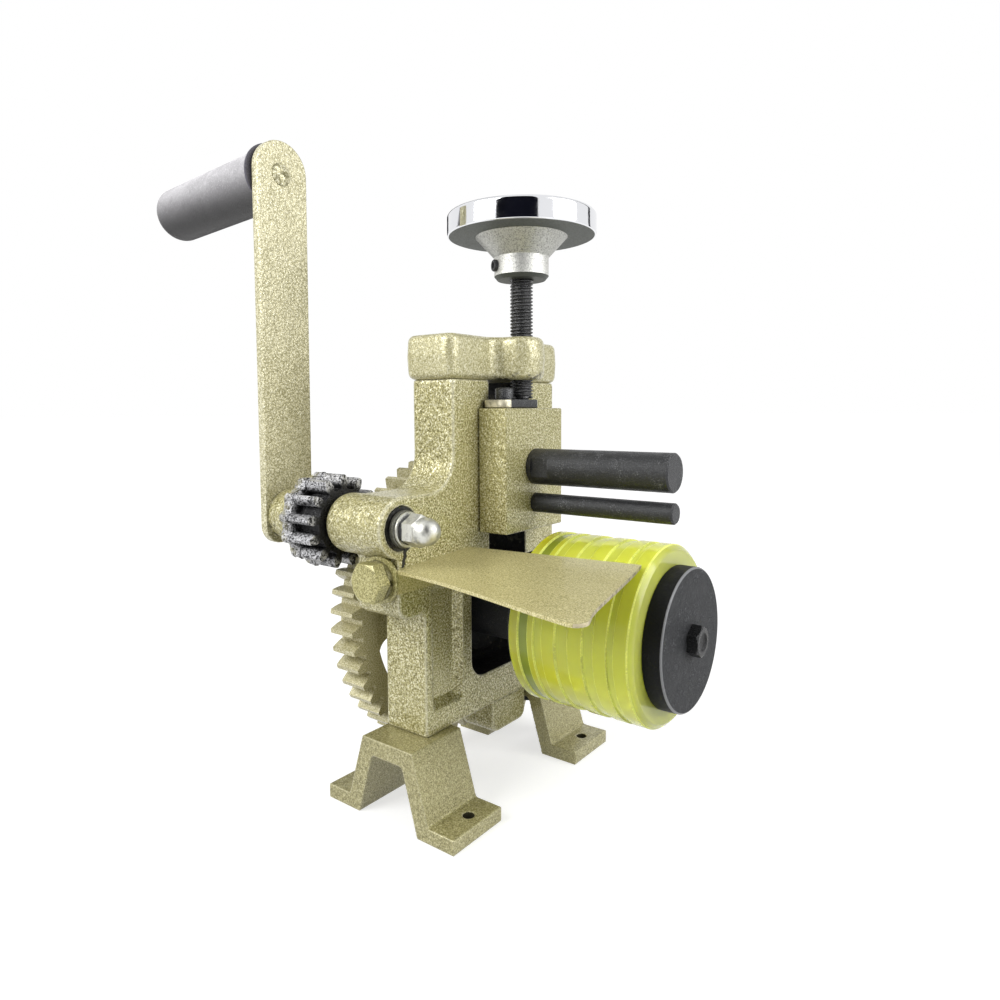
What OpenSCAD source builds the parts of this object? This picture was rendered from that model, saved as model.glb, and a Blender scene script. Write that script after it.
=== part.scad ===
// Hand-cranked bracelet bending machine on two bridge feet.
// A crank drives a geared roller shaft at the front of a cast frame. A strip is drawn over
// the soft roller and under a round mandrel, which a handwheel screw lowers in a slot.
// Machine axes: X=0 is the front face of the frame, Y=0 holds the roller shaft, Z=0 is the floor.

/* [Frame casting] */
// Depth of the casting from its front face to its rear face
frame_depth = 26.5; // [24:0.5:32]
// Width of the upright column
column_w = 89.4; // [86:0.2:100]
// Reach of the lower left edge from the shaft plane
base_reach = 66.1; // [60:0.1:72]
// Height of the casting from the feet to the cap
frame_h = 170.6; // [166:0.2:190]
// Height of the solid bar below the pocket
base_bar_h = 18.3; // [12:0.1:22]
// Height of the roller shaft above the bottom of the casting
shaft_rise = 50.7; // [48:0.1:60]
// Width of the guide slot
slot_w = 33.5; // [28:0.1:40]
// Width of the front pocket
pocket_w = 62.2; // [58:0.2:70]
// Depth of the front pocket
pocket_depth = 18.3; // [12:0.1:20]
// Corner radius of the front pocket
pocket_r = 10; // [4:0.5:14]
// Space above the bearing boss in the pocket
pocket_head = 0.8; // [0.5:0.1:6]
// Radius of the main bearing boss
boss_r = 27.7; // [24:0.1:29]
// Height of the bearing boss above the pocket floor
boss_front = 2.3; // [1:0.1:5]
// Length of the bearing boss behind the casting
boss_rear = 7; // [4:0.5:12]

/* [Frame ear] */
// Radius of the pinion bearing boss
ear_boss_r = 14.2; // [13:0.1:15]
// Length of the pinion boss behind the casting
ear_boss_rear = 11.1; // [7:0.1:14]
// Rounding of the rear end of the pinion boss
ear_boss_round = 5; // [2:0.5:7]
// Drop from the pinion axis to the underside of the ear
ear_drop = 42.5; // [36:0.1:50]
// Reach of the ear's side face beyond the pinion axis
ear_reach = 2.7; // [1:0.1:8]
// Radius of the hollow corner between ear and column
ear_hollow_r = 17; // [10:0.5:26]
// Radius of the lower corner of the ear
ear_corner_r = 7; // [3:0.5:10]

/* [Frame recess and lug] */
// Width of the bevelled recess at the front left
recess_w = 23.7; // [18:0.1:26]
// Height of the recess
recess_h = 62.3; // [40:0.1:66]
// Depth of the recess and run of its bevels
recess_depth = 4; // [2:0.5:6]
// Distance from the casting's left edge to the recess
recess_inset = 4.6; // [3:0.1:8]
// Height of the recess above the bottom of the casting
recess_rise = 10.9; // [6:0.1:20]
// Width of the lug below the casting
lug_w = 30.4; // [20:0.2:36]
// Depth of the lug
lug_depth = 22.2; // [14:0.1:24]
// Height of the lug
lug_h = 18.6; // [10:0.1:24]
// Rounding of the lug's lower corners
lug_r = 5; // [2:0.5:8]
// Sideways place of the lug's centre from the shaft plane
lug_y = 4.2; // [0:0.1:10]

/* [Feet] */
// Height of each bridge foot
foot_h = 38.8; // [34:0.1:48]
// Width of each foot from side to side
foot_w = 35.3; // [30:0.1:42]
// Length of each foot from front to back
foot_l = 82; // [76:1:100]
// Thickness of the flanges on the floor
foot_flange_t = 7; // [5:0.5:10]
// Length of the top land that carries the casting
foot_top_l = 32; // [28:0.5:40]
// Length across the outer legs above the flanges
foot_leg_l = 51.7; // [46:0.1:56]
// Length of the opening at the floor
foot_gap_low = 38; // [30:0.5:40]
// Length of the opening at its top
foot_gap_high = 19.6; // [17:0.1:22]
// Thickness of the bridge above the opening
foot_roof_t = 8.4; // [6:0.1:12]
// Distance between the two feet
foot_pitch = 103; // [100:1:112]
// Place of the left foot's centre from the shaft plane
foot_left = 64; // [60:0.5:68]
// Place of both feet behind the front face of the casting
foot_back = 11.5; // [10:0.1:14]
// Diameter of the mounting holes
foot_hole_d = 6; // [5:0.1:8]
// Distance between the mounting holes of one foot
foot_hole_pitch = 66; // [62:0.5:84]
// Sideways offset of the mounting holes from the foot's centre
foot_hole_off = 2.5; // [0:0.1:6]

/* [Top cap] */
// Width of the cap
cap_w = 93.6; // [88:0.2:104]
// Height of the cap
cap_h = 23.3; // [18:0.1:28]
// Overhang of the cap at the front
cap_front = 2; // [0.5:0.1:4]
// Overhang of the cap at the back
cap_rear = 3.2; // [0.5:0.1:4]
// Corner radius of the cap
cap_r = 3.5; // [1:0.5:6]
// Radius of the nose around the screw
nose_r = 12; // [10:0.1:15]
// Radius of the hollows between nose and cap
nose_hollow_r = 8; // [4:0.5:12]

/* [Sliding block] */
// Depth of the block in front of the casting
block_depth = 17.3; // [15:0.1:24]
// Width of the block
block_w = 51.4; // [46:0.2:60]
// Running gap between block and casting
block_gap = 0.5; // [0.3:0.05:0.8]
// Height of the block above the large mandrel's axis
block_above = 30; // [20:0.5:34]
// Depth of the block below the small mandrel's axis
block_below = 14; // [10:0.5:18]
// Running gap at each side of the tongue
tongue_gap = 0.25; // [0.15:0.05:0.5]
// Thickness of the guide plate behind the casting
guide_t = 5.2; // [4:0.1:5.5]
// Width of the guide plate
guide_w = 50; // [44:0.5:60]
// Height of the guide plate
guide_h = 44; // [36:0.5:50]

/* [Mandrels] */
// Diameter of the large mandrel
large_d = 18.5; // [14:0.1:19]
// Diameter of the small mandrel
small_d = 10; // [8:0.1:12]
// Distance between the mandrel axes
mandrel_pitch = 18.7; // [17:0.1:26]
// Gap between the roller and the small mandrel at rest
mandrel_gap = 9.4; // [9.2:0.1:12]
// Length of the large mandrel in front of the block
large_l = 76.1; // [60:0.1:84]
// Length of the small mandrel in front of the block
small_l = 76.7; // [60:0.1:84]
// Width across the wrench flats of the large mandrel
large_flat_w = 16; // [12:0.1:17]
// Length of the wrench flats
large_flat_l = 10; // [6:0.5:14]
// Distance from the block to the wrench flats
large_flat_off = 2.6; // [1:0.1:6]

/* [Keeper plate] */
// Thickness of the keeper plate
keeper_t = 4.5; // [3:0.1:6]
// Depth of the keeper plate
keeper_depth = 14.8; // [14:0.1:16]
// Reach of the keeper plate to the left of the screw
keeper_left = 22.8; // [20:0.1:24]
// Reach of the keeper plate to the right of the screw
keeper_right = 7; // [6:0.1:12]
// Place of the keeper screw to the left of the screw axis
keeper_screw_y = 13.7; // [12:0.1:15]

/* [Pressure screw] */
// Crest diameter of the screw thread
screw_d = 11.7; // [10:0.1:12]
// Pitch of the screw thread
screw_pitch = 1.75; // [1.5:0.25:2]
// Depth of the screw thread
thread_depth = 0.95; // [0.6:0.05:1.1]
// Diameter of the neck below the thread
neck_d = 7.6; // [6:0.1:8]
// Height of the collar at the foot of the screw
collar_h = 5; // [4:0.1:7]
// Running gap of neck and collar in the block
collar_gap = 0.3; // [0.2:0.05:0.4]

/* [Handwheel] */
// Gap between cap and handwheel at rest
wheel_gap = 27.9; // [14:0.1:34]
// Diameter of the handwheel
wheel_d = 76.4; // [64:0.2:90]
// Height of the rim
rim_h = 11.1; // [8:0.1:14]
// Rounding of the rim's edges
rim_round = 3.2; // [1:0.1:3.6]
// Diameter of the handwheel's hub
wheel_hub_d = 28; // [24:0.2:32]
// Height of the hub
wheel_hub_h = 11.3; // [10:0.1:16]
// Diameter of the cone where it meets the rim
wheel_cone_d = 47.6; // [38:0.2:56]
// Height of the cone
wheel_cone_h = 10.5; // [8:0.1:16]
// Diameter of the shallow dish in the top
wheel_dish_d = 58; // [50:0.5:62]
// Depth of the dish
wheel_dish_h = 2; // [1:0.1:3]
// Diameter of the set screw in the hub
set_screw_d = 6; // [5:0.1:7]
// Height of the set screw above the hub's lower face
set_screw_rise = 6.7; // [5:0.1:8]
// Reach of the set screw out of the hub
set_screw_out = 2.5; // [0.5:0.1:4]
// Direction of the set screw around the hub in degrees
set_screw_angle = 246; // [180:1:300]

/* [Roller shaft] */
// Diameter of the main shaft
shaft_d = 25; // [22:0.1:27]
// Wall of the main bearing bush
bush_wall = 4; // [3:0.1:5]
// Diameter of the rear thread of the main shaft
shaft_thread_d = 20; // [16:0.1:20.5]
// Thickness of the rear nut
shaft_nut_h = 10; // [8:0.5:14]
// Width across the flats of the rear nut
shaft_nut_af = 30; // [28:0.1:34]
// Diameter of the rear washer
shaft_washer_d = 36; // [34:0.5:42]
// Thickness of the rear washer
shaft_washer_t = 2.5; // [2:0.1:4]
// Width of the keys on the shaft
key_w = 8; // [6:0.1:8.5]
// Height of the keys on the shaft
key_h = 7; // [6:0.1:8]
// Length of the key under the roller
roller_key_l = 30; // [20:1:40]

/* [Roller] */
// Diameter of the roller's black neck
neck_hub_d = 36.4; // [34:0.2:42]
// Distance from the casting's front face to the roller flange
flange_x = 26.4; // [22:0.1:34]
// Thickness of the roller flange
flange_t = 4.1; // [3:0.1:6]
// Diameter of the roller flange
flange_d = 81; // [70:0.5:83]
// Diameter of the roller's core below the tyre
core_d = 58; // [50:0.5:62]
// Diameter of the tyre
tyre_d = 84.8; // [84:0.2:86]
// Length of the tyre
tyre_l = 63; // [56:0.1:66]
// Depth of the tyre's grooves
groove_depth = 0.8; // [0.4:0.1:1.4]
// Bevel of the tyre's front edge
tyre_bevel = 2; // [1:0.1:3]
// Diameter of the end cap
end_cap_d = 66.2; // [62:0.2:74]
// Thickness of the end cap
end_cap_t = 9.3; // [6:0.1:12]

/* [Gears] */
// Module of the gear pair
gear_module = 3; // [2.9:0.01:3.05]
// Teeth of the large gear
gear_teeth = 51; // [50:1:52]
// Teeth of the pinion
pinion_teeth = 13; // [13:1:14]
// Direction from the roller shaft to the pinion shaft in degrees
pinion_angle = 147.3; // [145:0.1:149]
// Angle of one tooth of the large gear in degrees
gear_turn = 169.05; // [165.6:0.05:172.5]
// Face width of the large gear
gear_w = 15.6; // [12:0.1:18]
// Gap between the main boss and the large gear's rim
gear_gap = 2.4; // [2:0.1:4]
// Thickness of the rim below the teeth, to the tip circle
gear_rim_t = 16.1; // [12:0.1:20]
// Width of the spokes
spoke_w = 24; // [18:0.5:28]
// Recess of the spokes behind the rim on each side
spoke_recess = 2; // [1:0.1:4]
// Radius of the hollows at the spokes
spoke_hollow_r = 8; // [4:0.5:10]
// Diameter of the large gear's hub
gear_hub_d = 46; // [42:0.5:52]
// Face width of the pinion
pinion_w = 26; // [22:0.1:30]
// Backlash of the gear pair at the pitch circle
backlash = 0.3; // [0.2:0.05:0.5]

/* [Crank] */
// Diameter of the pinion shaft
pin_shaft_d = 14; // [12:0.1:15]
// Wall of the pinion bush
pin_bush_wall = 3; // [2:0.1:4]
// Width of the key in the pinion
pin_key_w = 5; // [4:0.1:6]
// Height of the key in the pinion
pin_key_h = 5; // [4:0.1:6]
// Diameter of the crank's hub
crank_hub_d = 26.4; // [22:0.2:28]
// Length of the crank's hub
crank_hub_l = 16.2; // [8:0.1:22]
// Width of the crank arm
arm_w = 28.3; // [24:0.1:34]
// Thickness of the crank arm
arm_t = 5; // [4:0.1:8]
// Distance between the end centres of the crank arm
arm_l = 172.9; // [120:0.1:190]
// Distance from the arm's upper end centre to the spindle
spindle_drop = 2.6; // [0:0.1:6]
// Diameter of the grip spindle
spindle_d = 10; // [8:0.1:12]
// Diameter of the spindle's riveted end
rivet_d = 15; // [13:0.1:18]
// Height of the riveted end
rivet_h = 2.4; // [1.5:0.1:4]
// Downward tilt of the grip in degrees
grip_tilt = 2.75; // [0:0.05:4]
// Diameter of the grip
grip_d = 28; // [24:0.2:34]
// Length of the grip
grip_l = 90.4; // [70:0.1:110]
// Rounding of the grip's free end
grip_round = 5; // [2:0.5:6]
// Diameter of the grip washer
grip_washer_d = 33; // [30:0.2:38]
// Thickness of the grip washer
grip_washer_t = 1.5; // [1:0.1:3]
// Diameter of the spindle's retaining head
spindle_head_d = 16; // [13:0.1:18]
// Height of the spindle's retaining head
spindle_head_h = 4; // [3:0.1:6]
// Depth of the pocket in the grip's free end
grip_pocket_h = 7; // [6:0.1:10]

/* [Front nut of the pinion shaft] */
// Diameter of the dark spacer on the shaft's shoulder
nut_spacer_d = 17; // [15:0.1:19]
// Thickness of the spacer
nut_spacer_t = 2.8; // [1.5:0.1:4]
// Diameter of the bright washer
nut_washer_d = 16; // [15:0.1:19]
// Thickness of the bright washer
nut_washer_t = 1.6; // [1:0.1:2.5]
// Diameter of the spring washer below the nut
nut_spring_d = 13.6; // [12:0.1:14.8]
// Thickness of the spring washer below the nut
nut_spring_t = 1.5; // [1:0.1:2.5]
// Gap of the split in that spring washer
nut_spring_split = 1.5; // [1:0.1:2]
// Diameter of the thread
nut_thread_d = 8; // [6:0.1:9]
// Width across the flats of the acorn nut
nut_af = 13; // [12:0.1:15]
// Height of the acorn nut's hexagon
nut_hex_h = 6.5; // [5:0.1:7.5]
// Height of the whole acorn nut
nut_h = 15; // [14:0.1:18]
// Diameter of the acorn nut's dome
nut_dome_d = 12.5; // [11.5:0.1:13]

/* [Work table] */
// Thickness of the sheet
table_t = 1.5; // [1:0.1:2]
// Tilt of the table in degrees, down to the left
table_tilt = 3.2; // [0:0.1:4]
// Height of the table's top above the floor at the ear's side face
table_z = 123.3; // [121:0.1:126]
// Length of the table in front of the casting at its right side
table_right_l = 89.2; // [70:0.1:92]
// Length of the table in front of the casting at its left side
table_left_l = 108.7; // [90:0.1:116]
// Place of the table's rear right corner to the left of the shaft plane
table_right_y = 33.5; // [32:0.1:40]
// Place of the table's front right corner to the left of the shaft plane
table_front_y = 24.6; // [24:0.1:32]
// Reach of the table's front left corner beyond the ear
table_flare = 25.4; // [10:0.1:32]
// Rounding of the front left corner
table_round = 12.7; // [4:0.1:18]
// Drop of the front flange below the table's top
table_flange_h = 11; // [10:0.1:16]
// Length of the front flange along the casting
table_flange_l = 42; // [30:0.5:48]
// Length of the side tab along the ear
table_tab_l = 25; // [22:0.1:26.4]
// Drop of the bolt's axis below the table's top
table_bolt_drop = 5.3; // [4:0.1:7]
// Place of the bolt's axis behind the casting's front face
table_bolt_back = 8.8; // [8:0.1:14]
// Diameter of the table bolt
table_bolt_d = 10; // [8:0.1:11]
// Width across the flats of the table bolt
table_bolt_af = 17; // [16:0.1:19]
// Height of the table bolt's head
table_bolt_head_h = 6.5; // [5:0.1:8]
// Length of the table bolt's shank
table_bolt_l = 28; // [22:0.5:36]
// Diameter of the flat washer
table_washer_d = 22; // [20:0.1:23]
// Thickness of the flat washer
table_washer_t = 2; // [1.5:0.1:3]
// Diameter of the spring washer
spring_washer_d = 18.4; // [17:0.1:19.5]
// Thickness of the spring washer
spring_washer_t = 2.4; // [1.8:0.1:3.2]
// Gap of the split in the spring washer
spring_split = 2; // [1:0.1:3]

/* [Screws] */
// Diameter of the foot bolts and the cap screws
bolt_d = 8; // [6:0.1:8]
// Width across the flats of the foot bolts
foot_bolt_af = 13; // [12:0.1:14]
// Height of the foot bolts' heads
foot_bolt_head_h = 5.3; // [4:0.1:6]
// Depth of the bolts in the casting
bolt_bite = 12; // [8:0.1:14]
// Diameter of the cap screws' heads
cap_screw_head_d = 13; // [12:0.1:14]
// Height of the cap screws' heads
cap_screw_head_h = 8; // [6:0.1:9]
// Diameter of the small screws of keeper and guide plate
small_screw_d = 6; // [5:0.1:6]
// Diameter of the small screws' heads
small_head_d = 10; // [9:0.1:10.5]
// Height of the keeper screw's head
small_head_h = 6; // [5:0.1:6.5]
// Depth of the small screws in the block
small_bite = 10; // [7:0.1:12]
// Diameter of the end cap bolt
end_bolt_d = 8; // [6:0.1:8.5]
// Width across the flats of the end cap bolt
end_bolt_af = 13; // [12:0.1:14]
// Height of the end cap bolt's head
end_bolt_head_h = 5.3; // [4:0.1:6]
// Depth of the end cap bolt in the shaft
end_bolt_bite = 20; // [12:0.5:26]

/* [Hidden] */

// Smoothness of round shapes
round_fn = 96;
small_fn = 48;
// Overrun of every cut past the face that it opens
cut = 1;
// Radial running fit of a shaft in its bush and of the screw in the cap
run_fit = 0.05;
// Axial running gap between a turning piece and its neighbour
run_gap = 0.3;
// Chamfer of the corners of hexagons
hex_bevel = 1;
// Land left between counterbores and the screws' heads in them
head_gap = 0.4;
// Extra depth of the hexagon sockets' heads below the face
head_sink = 1;
// Width and depth of the socket in a socket screw, as shares of its head
socket_w_share = 0.5;
socket_h_share = 0.55;
// Depth of the key in the shaft, as a share of its height
key_sink_share = 0.55;
// Depth of a blind hole past the end of its bolt
drill_extra = 1.5;

// Lands and grooves along the tyre: the start and end of each groove as shares of its length
groove_shares = [[0.078, 0.167], [0.215, 0.29], [0.397, 0.508], [0.62, 0.708], [0.811, 0.863]];
// Run of a groove's slanted sides as a share of the groove's length
groove_side_share = 0.2;

// Shank of a mandrel in the block, as a share of its diameter, and its length
shank_share = 0.6;
shank_l = 30;
// Outline of one turn of the screw thread: places along the pitch and depths, as shares
thread_shares = [[0, 0], [0.35, 0], [0.5, 1], [0.85, 1]];

// Angles of the spokes around the shaft
spoke_angles = [180, 60, -60];
// Pressure angle of the teeth
pressure_angle = 20;
// Points along one flank of a tooth
flank_steps = 6;
// Height of a tooth above and below the pitch circle, in modules
tip_share = 1;
root_share = 1.25;
// Angle left of a tooth at its root where it is undercut, as a share of its angle above
undercut_share = 0.72;

// Heights
casting_z = foot_h;
shaft_z = casting_z + shaft_rise;
casting_top = casting_z + frame_h;
pocket_bottom = casting_z + base_bar_h;
pocket_top = shaft_z + boss_r + pocket_head;
cap_top = casting_top + cap_h;

// Gear pair
centre_distance = gear_module * (gear_teeth + pinion_teeth) / 2;
pinion_y = centre_distance * cos(pinion_angle);
pinion_z = shaft_z + centre_distance * sin(pinion_angle);
gear_tip_r = gear_module * (gear_teeth / 2 + tip_share);
gear_pitch_angle = 360 / gear_teeth;
pinion_pitch_angle = 360 / pinion_teeth;
// Turn of the nearest tooth past the line of centres, and the pinion turned to match it
mesh_steps = round((pinion_angle - gear_turn) / gear_pitch_angle);
mesh_turn = gear_turn + mesh_steps * gear_pitch_angle - pinion_angle;
pinion_turn = pinion_angle + 180 + pinion_pitch_angle / 2 - mesh_turn * gear_teeth / pinion_teeth;

// Places along X, negative to the rear
bush_front = boss_front - pocket_depth;
bush_rear = -(frame_depth + boss_rear);
gear_front = bush_rear - gear_gap;
gear_rear = gear_front - gear_w;
shaft_rear = gear_rear - shaft_washer_t - shaft_nut_h - head_sink;
hub_rear = bush_front + run_gap;
tyre_front = flange_x + flange_t + tyre_l;
ear_boss_end = -(frame_depth + ear_boss_rear);
pinion_front = ear_boss_end - run_gap;
pinion_rear = pinion_front - pinion_w;
arm_front = pinion_rear - crank_hub_l;
arm_rear = arm_front - arm_t;

// Ear
ear_top = pinion_z + ear_boss_r;
ear_bottom = pinion_z - ear_drop;
ear_side = pinion_y - ear_reach;

// Sliding block
tyre_top = shaft_z + tyre_d / 2;
small_z = tyre_top + mandrel_gap + small_d / 2;
large_z = small_z + mandrel_pitch;
block_bottom = small_z - block_below;
block_top = large_z + block_above;
block_h = block_top - block_bottom;
block_front = block_gap + block_depth;
tongue_w = slot_w - 2 * tongue_gap;
screw_x = block_gap + block_depth / 2;
collar_pocket_h = collar_h + 2 * collar_gap;
keeper_top = block_top + keeper_t;
guide_z = (block_bottom + block_top - guide_h) / 2;
guide_front = -(frame_depth + block_gap);

// Handwheel
wheel_z = cap_top + wheel_gap;
rim_z = wheel_z + wheel_hub_h + wheel_cone_h;
wheel_top = rim_z + rim_h;

// Feet
foot_centres = [-foot_left, foot_pitch - foot_left];
shaft_y = foot_left - foot_pitch / 2 - foot_hole_off;
foot_bolt_y = [
    (foot_centres[0] + foot_w / 2 - base_reach) / 2,
    (foot_centres[1] - foot_w / 2 + column_w / 2) / 2
];

// Work table
table_bolt_z = table_z - table_bolt_drop;
tab_face = ear_side - table_t;

// Grip
spindle_z = pinion_z + arm_l - spindle_drop;
grip_washer_x = grip_washer_d / 2 * sin(grip_tilt) + collar_gap;
grip_x = grip_washer_x + grip_washer_t + run_gap;

// The whole machine, moved so that the centre of the four mounting holes is the origin
module placed() {
    translate([foot_back, shaft_y, 0])
        children();
}

// A flat outline in Y and Z that grows forward from x by length
module along_x(x, length) {
    translate([x, 0, 0])
        rotate([90, 0, 90])
            linear_extrude(height = length)
                children();
}

// A cylinder along X from x to x + length
module rod_x(d, x, length, y = 0, z = 0, fn = round_fn) {
    translate([x, y, z])
        rotate([0, 90, 0])
            cylinder(d = d, h = length, $fn = fn);
}

// A hexagon prism along Z with bevelled corners at its upper end
module hexagon(af, h) {
    corner_d = af / cos(30);
    intersection() {
        cylinder(d = corner_d, h = h, $fn = 6);
        union() {
            cylinder(d = corner_d + cut, h = h - hex_bevel, $fn = small_fn);
            translate([0, 0, h - hex_bevel])
                cylinder(d1 = corner_d, d2 = corner_d - 2 * hex_bevel, h = hex_bevel, $fn = small_fn);
        }
    }
}

// A socket screw with its head up and the underside of the head at z=0
module socket_screw(d, length, head_d, head_h) {
    socket_w = head_d * socket_w_share;
    difference() {
        union() {
            cylinder(d = head_d, h = head_h, $fn = small_fn);
            translate([0, 0, -length])
                cylinder(d = d, h = length, $fn = small_fn);
        }
        translate([0, 0, head_h * (1 - socket_h_share)])
            cylinder(d = socket_w / cos(30), h = head_h, $fn = 6);
    }
}

// A block between two corners
module block(from, to) {
    translate(from)
        cube(to - from);
}

// The solid left in a square corner outside a quarter circle, corner at the origin
module corner_fill(r) {
    difference() {
        square(r);
        translate([r, r])
            circle(r = r, $fn = small_fn);
    }
}

// Frame casting

module ear_outline() {
    difference() {
        union() {
            translate([ear_side, ear_bottom])
                square([-column_w / 2 - ear_side, pinion_z - ear_bottom]);
            translate([pinion_y, pinion_z])
                square([-column_w / 2 - pinion_y, ear_boss_r]);
            translate([pinion_y, pinion_z])
                circle(r = ear_boss_r, $fn = round_fn);
            translate([-column_w / 2, ear_top])
                mirror([1, 0])
                    corner_fill(ear_hollow_r);
        }
        translate([ear_side, ear_bottom])
            corner_fill(ear_corner_r);
    }
}

module casting_outline() {
    translate([-column_w / 2, casting_z])
        square([column_w, frame_h]);
    translate([-base_reach, casting_z])
        square([base_reach, ear_bottom + ear_corner_r - casting_z]);
    ear_outline();
}

module pocket_outline() {
    difference() {
        translate([-pocket_w / 2, pocket_bottom])
            square([pocket_w, pocket_top - pocket_bottom]);
        for (side = [0, 1])
            mirror([side, 0])
                translate([-pocket_w / 2, pocket_bottom])
                    corner_fill(pocket_r);
    }
}

module slot_cut() {
    block([-frame_depth - cut, -slot_w / 2, pocket_top - cut],
          [cut, slot_w / 2, casting_top + cut]);
}

// The recess narrows to its floor on all four sides
module recess_cut() {
    y = -base_reach + recess_inset;
    z = casting_z + recess_rise;
    rim = cut;
    intersection() {
        translate([0, 0, z - rim])
            linear_extrude(height = recess_h + 2 * rim)
                polygon([
                    [rim, y - rim], [rim, y + recess_w + rim],
                    [-recess_depth, y + recess_w - recess_depth], [-recess_depth, y + recess_depth]
                ]);
        translate([0, y + recess_w + rim, 0])
            rotate([90, 0, 0])
                linear_extrude(height = recess_w + 2 * rim)
                    polygon([
                        [rim, z - rim], [rim, z + recess_h + rim],
                        [-recess_depth, z + recess_h - recess_depth], [-recess_depth, z + recess_depth]
                    ]);
    }
}

module lug_outline() {
    difference() {
        translate([lug_y - lug_w / 2, casting_z - lug_h])
            square([lug_w, lug_h + cut]);
        for (side = [0, 1])
            translate([lug_y, 0])
                mirror([side, 0])
                    translate([-lug_w / 2, casting_z - lug_h])
                        corner_fill(lug_r);
    }
}

// The pinion boss behind the casting, with a rounded rear edge
module ear_boss() {
    length = ear_boss_rear + cut;
    translate([cut - frame_depth, pinion_y, pinion_z])
        rotate([0, -90, 0])
            rotate_extrude($fn = round_fn)
                difference() {
                    square([ear_boss_r, length]);
                    translate([ear_boss_r, length])
                        rotate(180)
                            corner_fill(ear_boss_round);
                }
}

module frame_casting() {
    color("darkkhaki")
        difference() {
            union() {
                difference() {
                    along_x(-frame_depth, frame_depth)
                        casting_outline();
                    along_x(-pocket_depth, pocket_depth + cut)
                        pocket_outline();
                    slot_cut();
                    recess_cut();
                }
                rod_x(2 * boss_r, bush_rear, bush_front - bush_rear, z = shaft_z);
                ear_boss();
                lug_front = (lug_depth - frame_depth) / 2;
                along_x(lug_front - lug_depth, lug_depth)
                    lug_outline();
            }
            bore = shaft_d + 2 * (run_fit + bush_wall);
            rod_x(bore, bush_rear - cut, bush_front - bush_rear + 2 * cut, z = shaft_z);
            pin_bore = pin_shaft_d + 2 * (run_fit + pin_bush_wall);
            rod_x(pin_bore, ear_boss_end - cut, cut - ear_boss_end + cut, pinion_y, pinion_z);
            table_bolt_hole();
            foot_bolt_places()
                translate([0, 0, casting_z - cut])
                    cylinder(d = bolt_d, h = bolt_bite + drill_extra + cut, $fn = small_fn);
            cap_screw_places()
                translate([0, 0, casting_top - bolt_bite - drill_extra])
                    cylinder(d = bolt_d, h = bolt_bite + drill_extra + cut, $fn = small_fn);
        }
}

// The bolt's hole in the ear, and the spot face that clears its washer below the boss
module table_bolt_hole() {
    depth = table_bolt_l - table_t - table_washer_t - spring_washer_t;
    translate([-table_bolt_back, ear_side, table_bolt_z]) {
        rotate([-90, 0, 0])
            translate([0, 0, -cut])
                cylinder(d = table_bolt_d, h = depth + drill_extra + cut, $fn = small_fn);
        rotate([90, 0, 0])
            cylinder(d = table_washer_d + 2 * run_gap, h = ear_boss_r, $fn = small_fn);
    }
}

// Bearing bushes

module bush(shaft, wall, x, length, y, z) {
    inner = shaft + 2 * run_fit;
    difference() {
        rod_x(inner + 2 * wall, x, length, y, z);
        rod_x(inner, x - cut, length + 2 * cut, y, z);
    }
}

module main_bush() {
    color("peru")
        bush(shaft_d, bush_wall, bush_rear, bush_front - bush_rear, 0, shaft_z);
}

module pinion_bush() {
    color("peru")
        bush(pin_shaft_d, pin_bush_wall, ear_boss_end, -ear_boss_end, pinion_y, pinion_z);
}

// Feet

module foot_outline() {
    half = foot_l / 2;
    difference() {
        polygon([
            [-half, 0], [half, 0], [half, foot_flange_t], [foot_leg_l / 2, foot_flange_t],
            [foot_top_l / 2, foot_h], [-foot_top_l / 2, foot_h],
            [-foot_leg_l / 2, foot_flange_t], [-half, foot_flange_t]
        ]);
        roof = foot_h - foot_roof_t;
        flare = (foot_gap_low - foot_gap_high) / 2 * cut / roof;
        polygon([
            [-foot_gap_low / 2 - flare, -cut], [foot_gap_low / 2 + flare, -cut],
            [foot_gap_high / 2, roof], [-foot_gap_high / 2, roof]
        ]);
    }
}

module foot(y) {
    color("darkkhaki")
        difference() {
            translate([-foot_back, y + foot_w / 2, 0])
                rotate([90, 0, 0])
                    linear_extrude(height = foot_w)
                        foot_outline();
            for (side = [-1, 1])
                translate([side * foot_hole_pitch / 2 - foot_back, y + foot_hole_off, -cut])
                    cylinder(d = foot_hole_d, h = foot_flange_t + 2 * cut, $fn = small_fn);
            foot_bolt_places()
                translate([0, 0, foot_h - foot_roof_t - cut])
                    cylinder(d = bolt_d, h = foot_roof_t + 2 * cut, $fn = small_fn);
        }
}

module foot_bolt_places() {
    for (y = foot_bolt_y)
        translate([-foot_back, y, 0])
            children();
}

module foot_bolts() {
    length = foot_roof_t + bolt_bite;
    color("dimgray")
        foot_bolt_places()
            translate([0, 0, foot_h - foot_roof_t]) {
                mirror([0, 0, 1])
                    hexagon(foot_bolt_af, foot_bolt_head_h);
                cylinder(d = bolt_d, h = length, $fn = small_fn);
            }
}

// Top cap

module cap_outline() {
    x_back = -frame_depth - cap_rear;
    depth = frame_depth + cap_rear + cap_front;
    difference() {
        translate([x_back, -cap_w / 2])
            square([depth, cap_w]);
        for (side = [0, 1])
            mirror([0, side])
                translate([x_back, -cap_w / 2]) {
                    corner_fill(cap_r);
                    translate([depth, 0])
                        mirror([1, 0])
                            corner_fill(cap_r);
                }
    }
    translate([0, -nose_r])
        square([screw_x, 2 * nose_r]);
    translate([screw_x, 0])
        circle(r = nose_r, $fn = round_fn);
    for (side = [0, 1])
        mirror([0, side])
            translate([cap_front, nose_r])
                corner_fill(nose_hollow_r);
}

module cap_screw_places() {
    for (side = [-1, 1])
        translate([-frame_depth / 2, side * (slot_w + column_w) / 4, 0])
            children();
}

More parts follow.
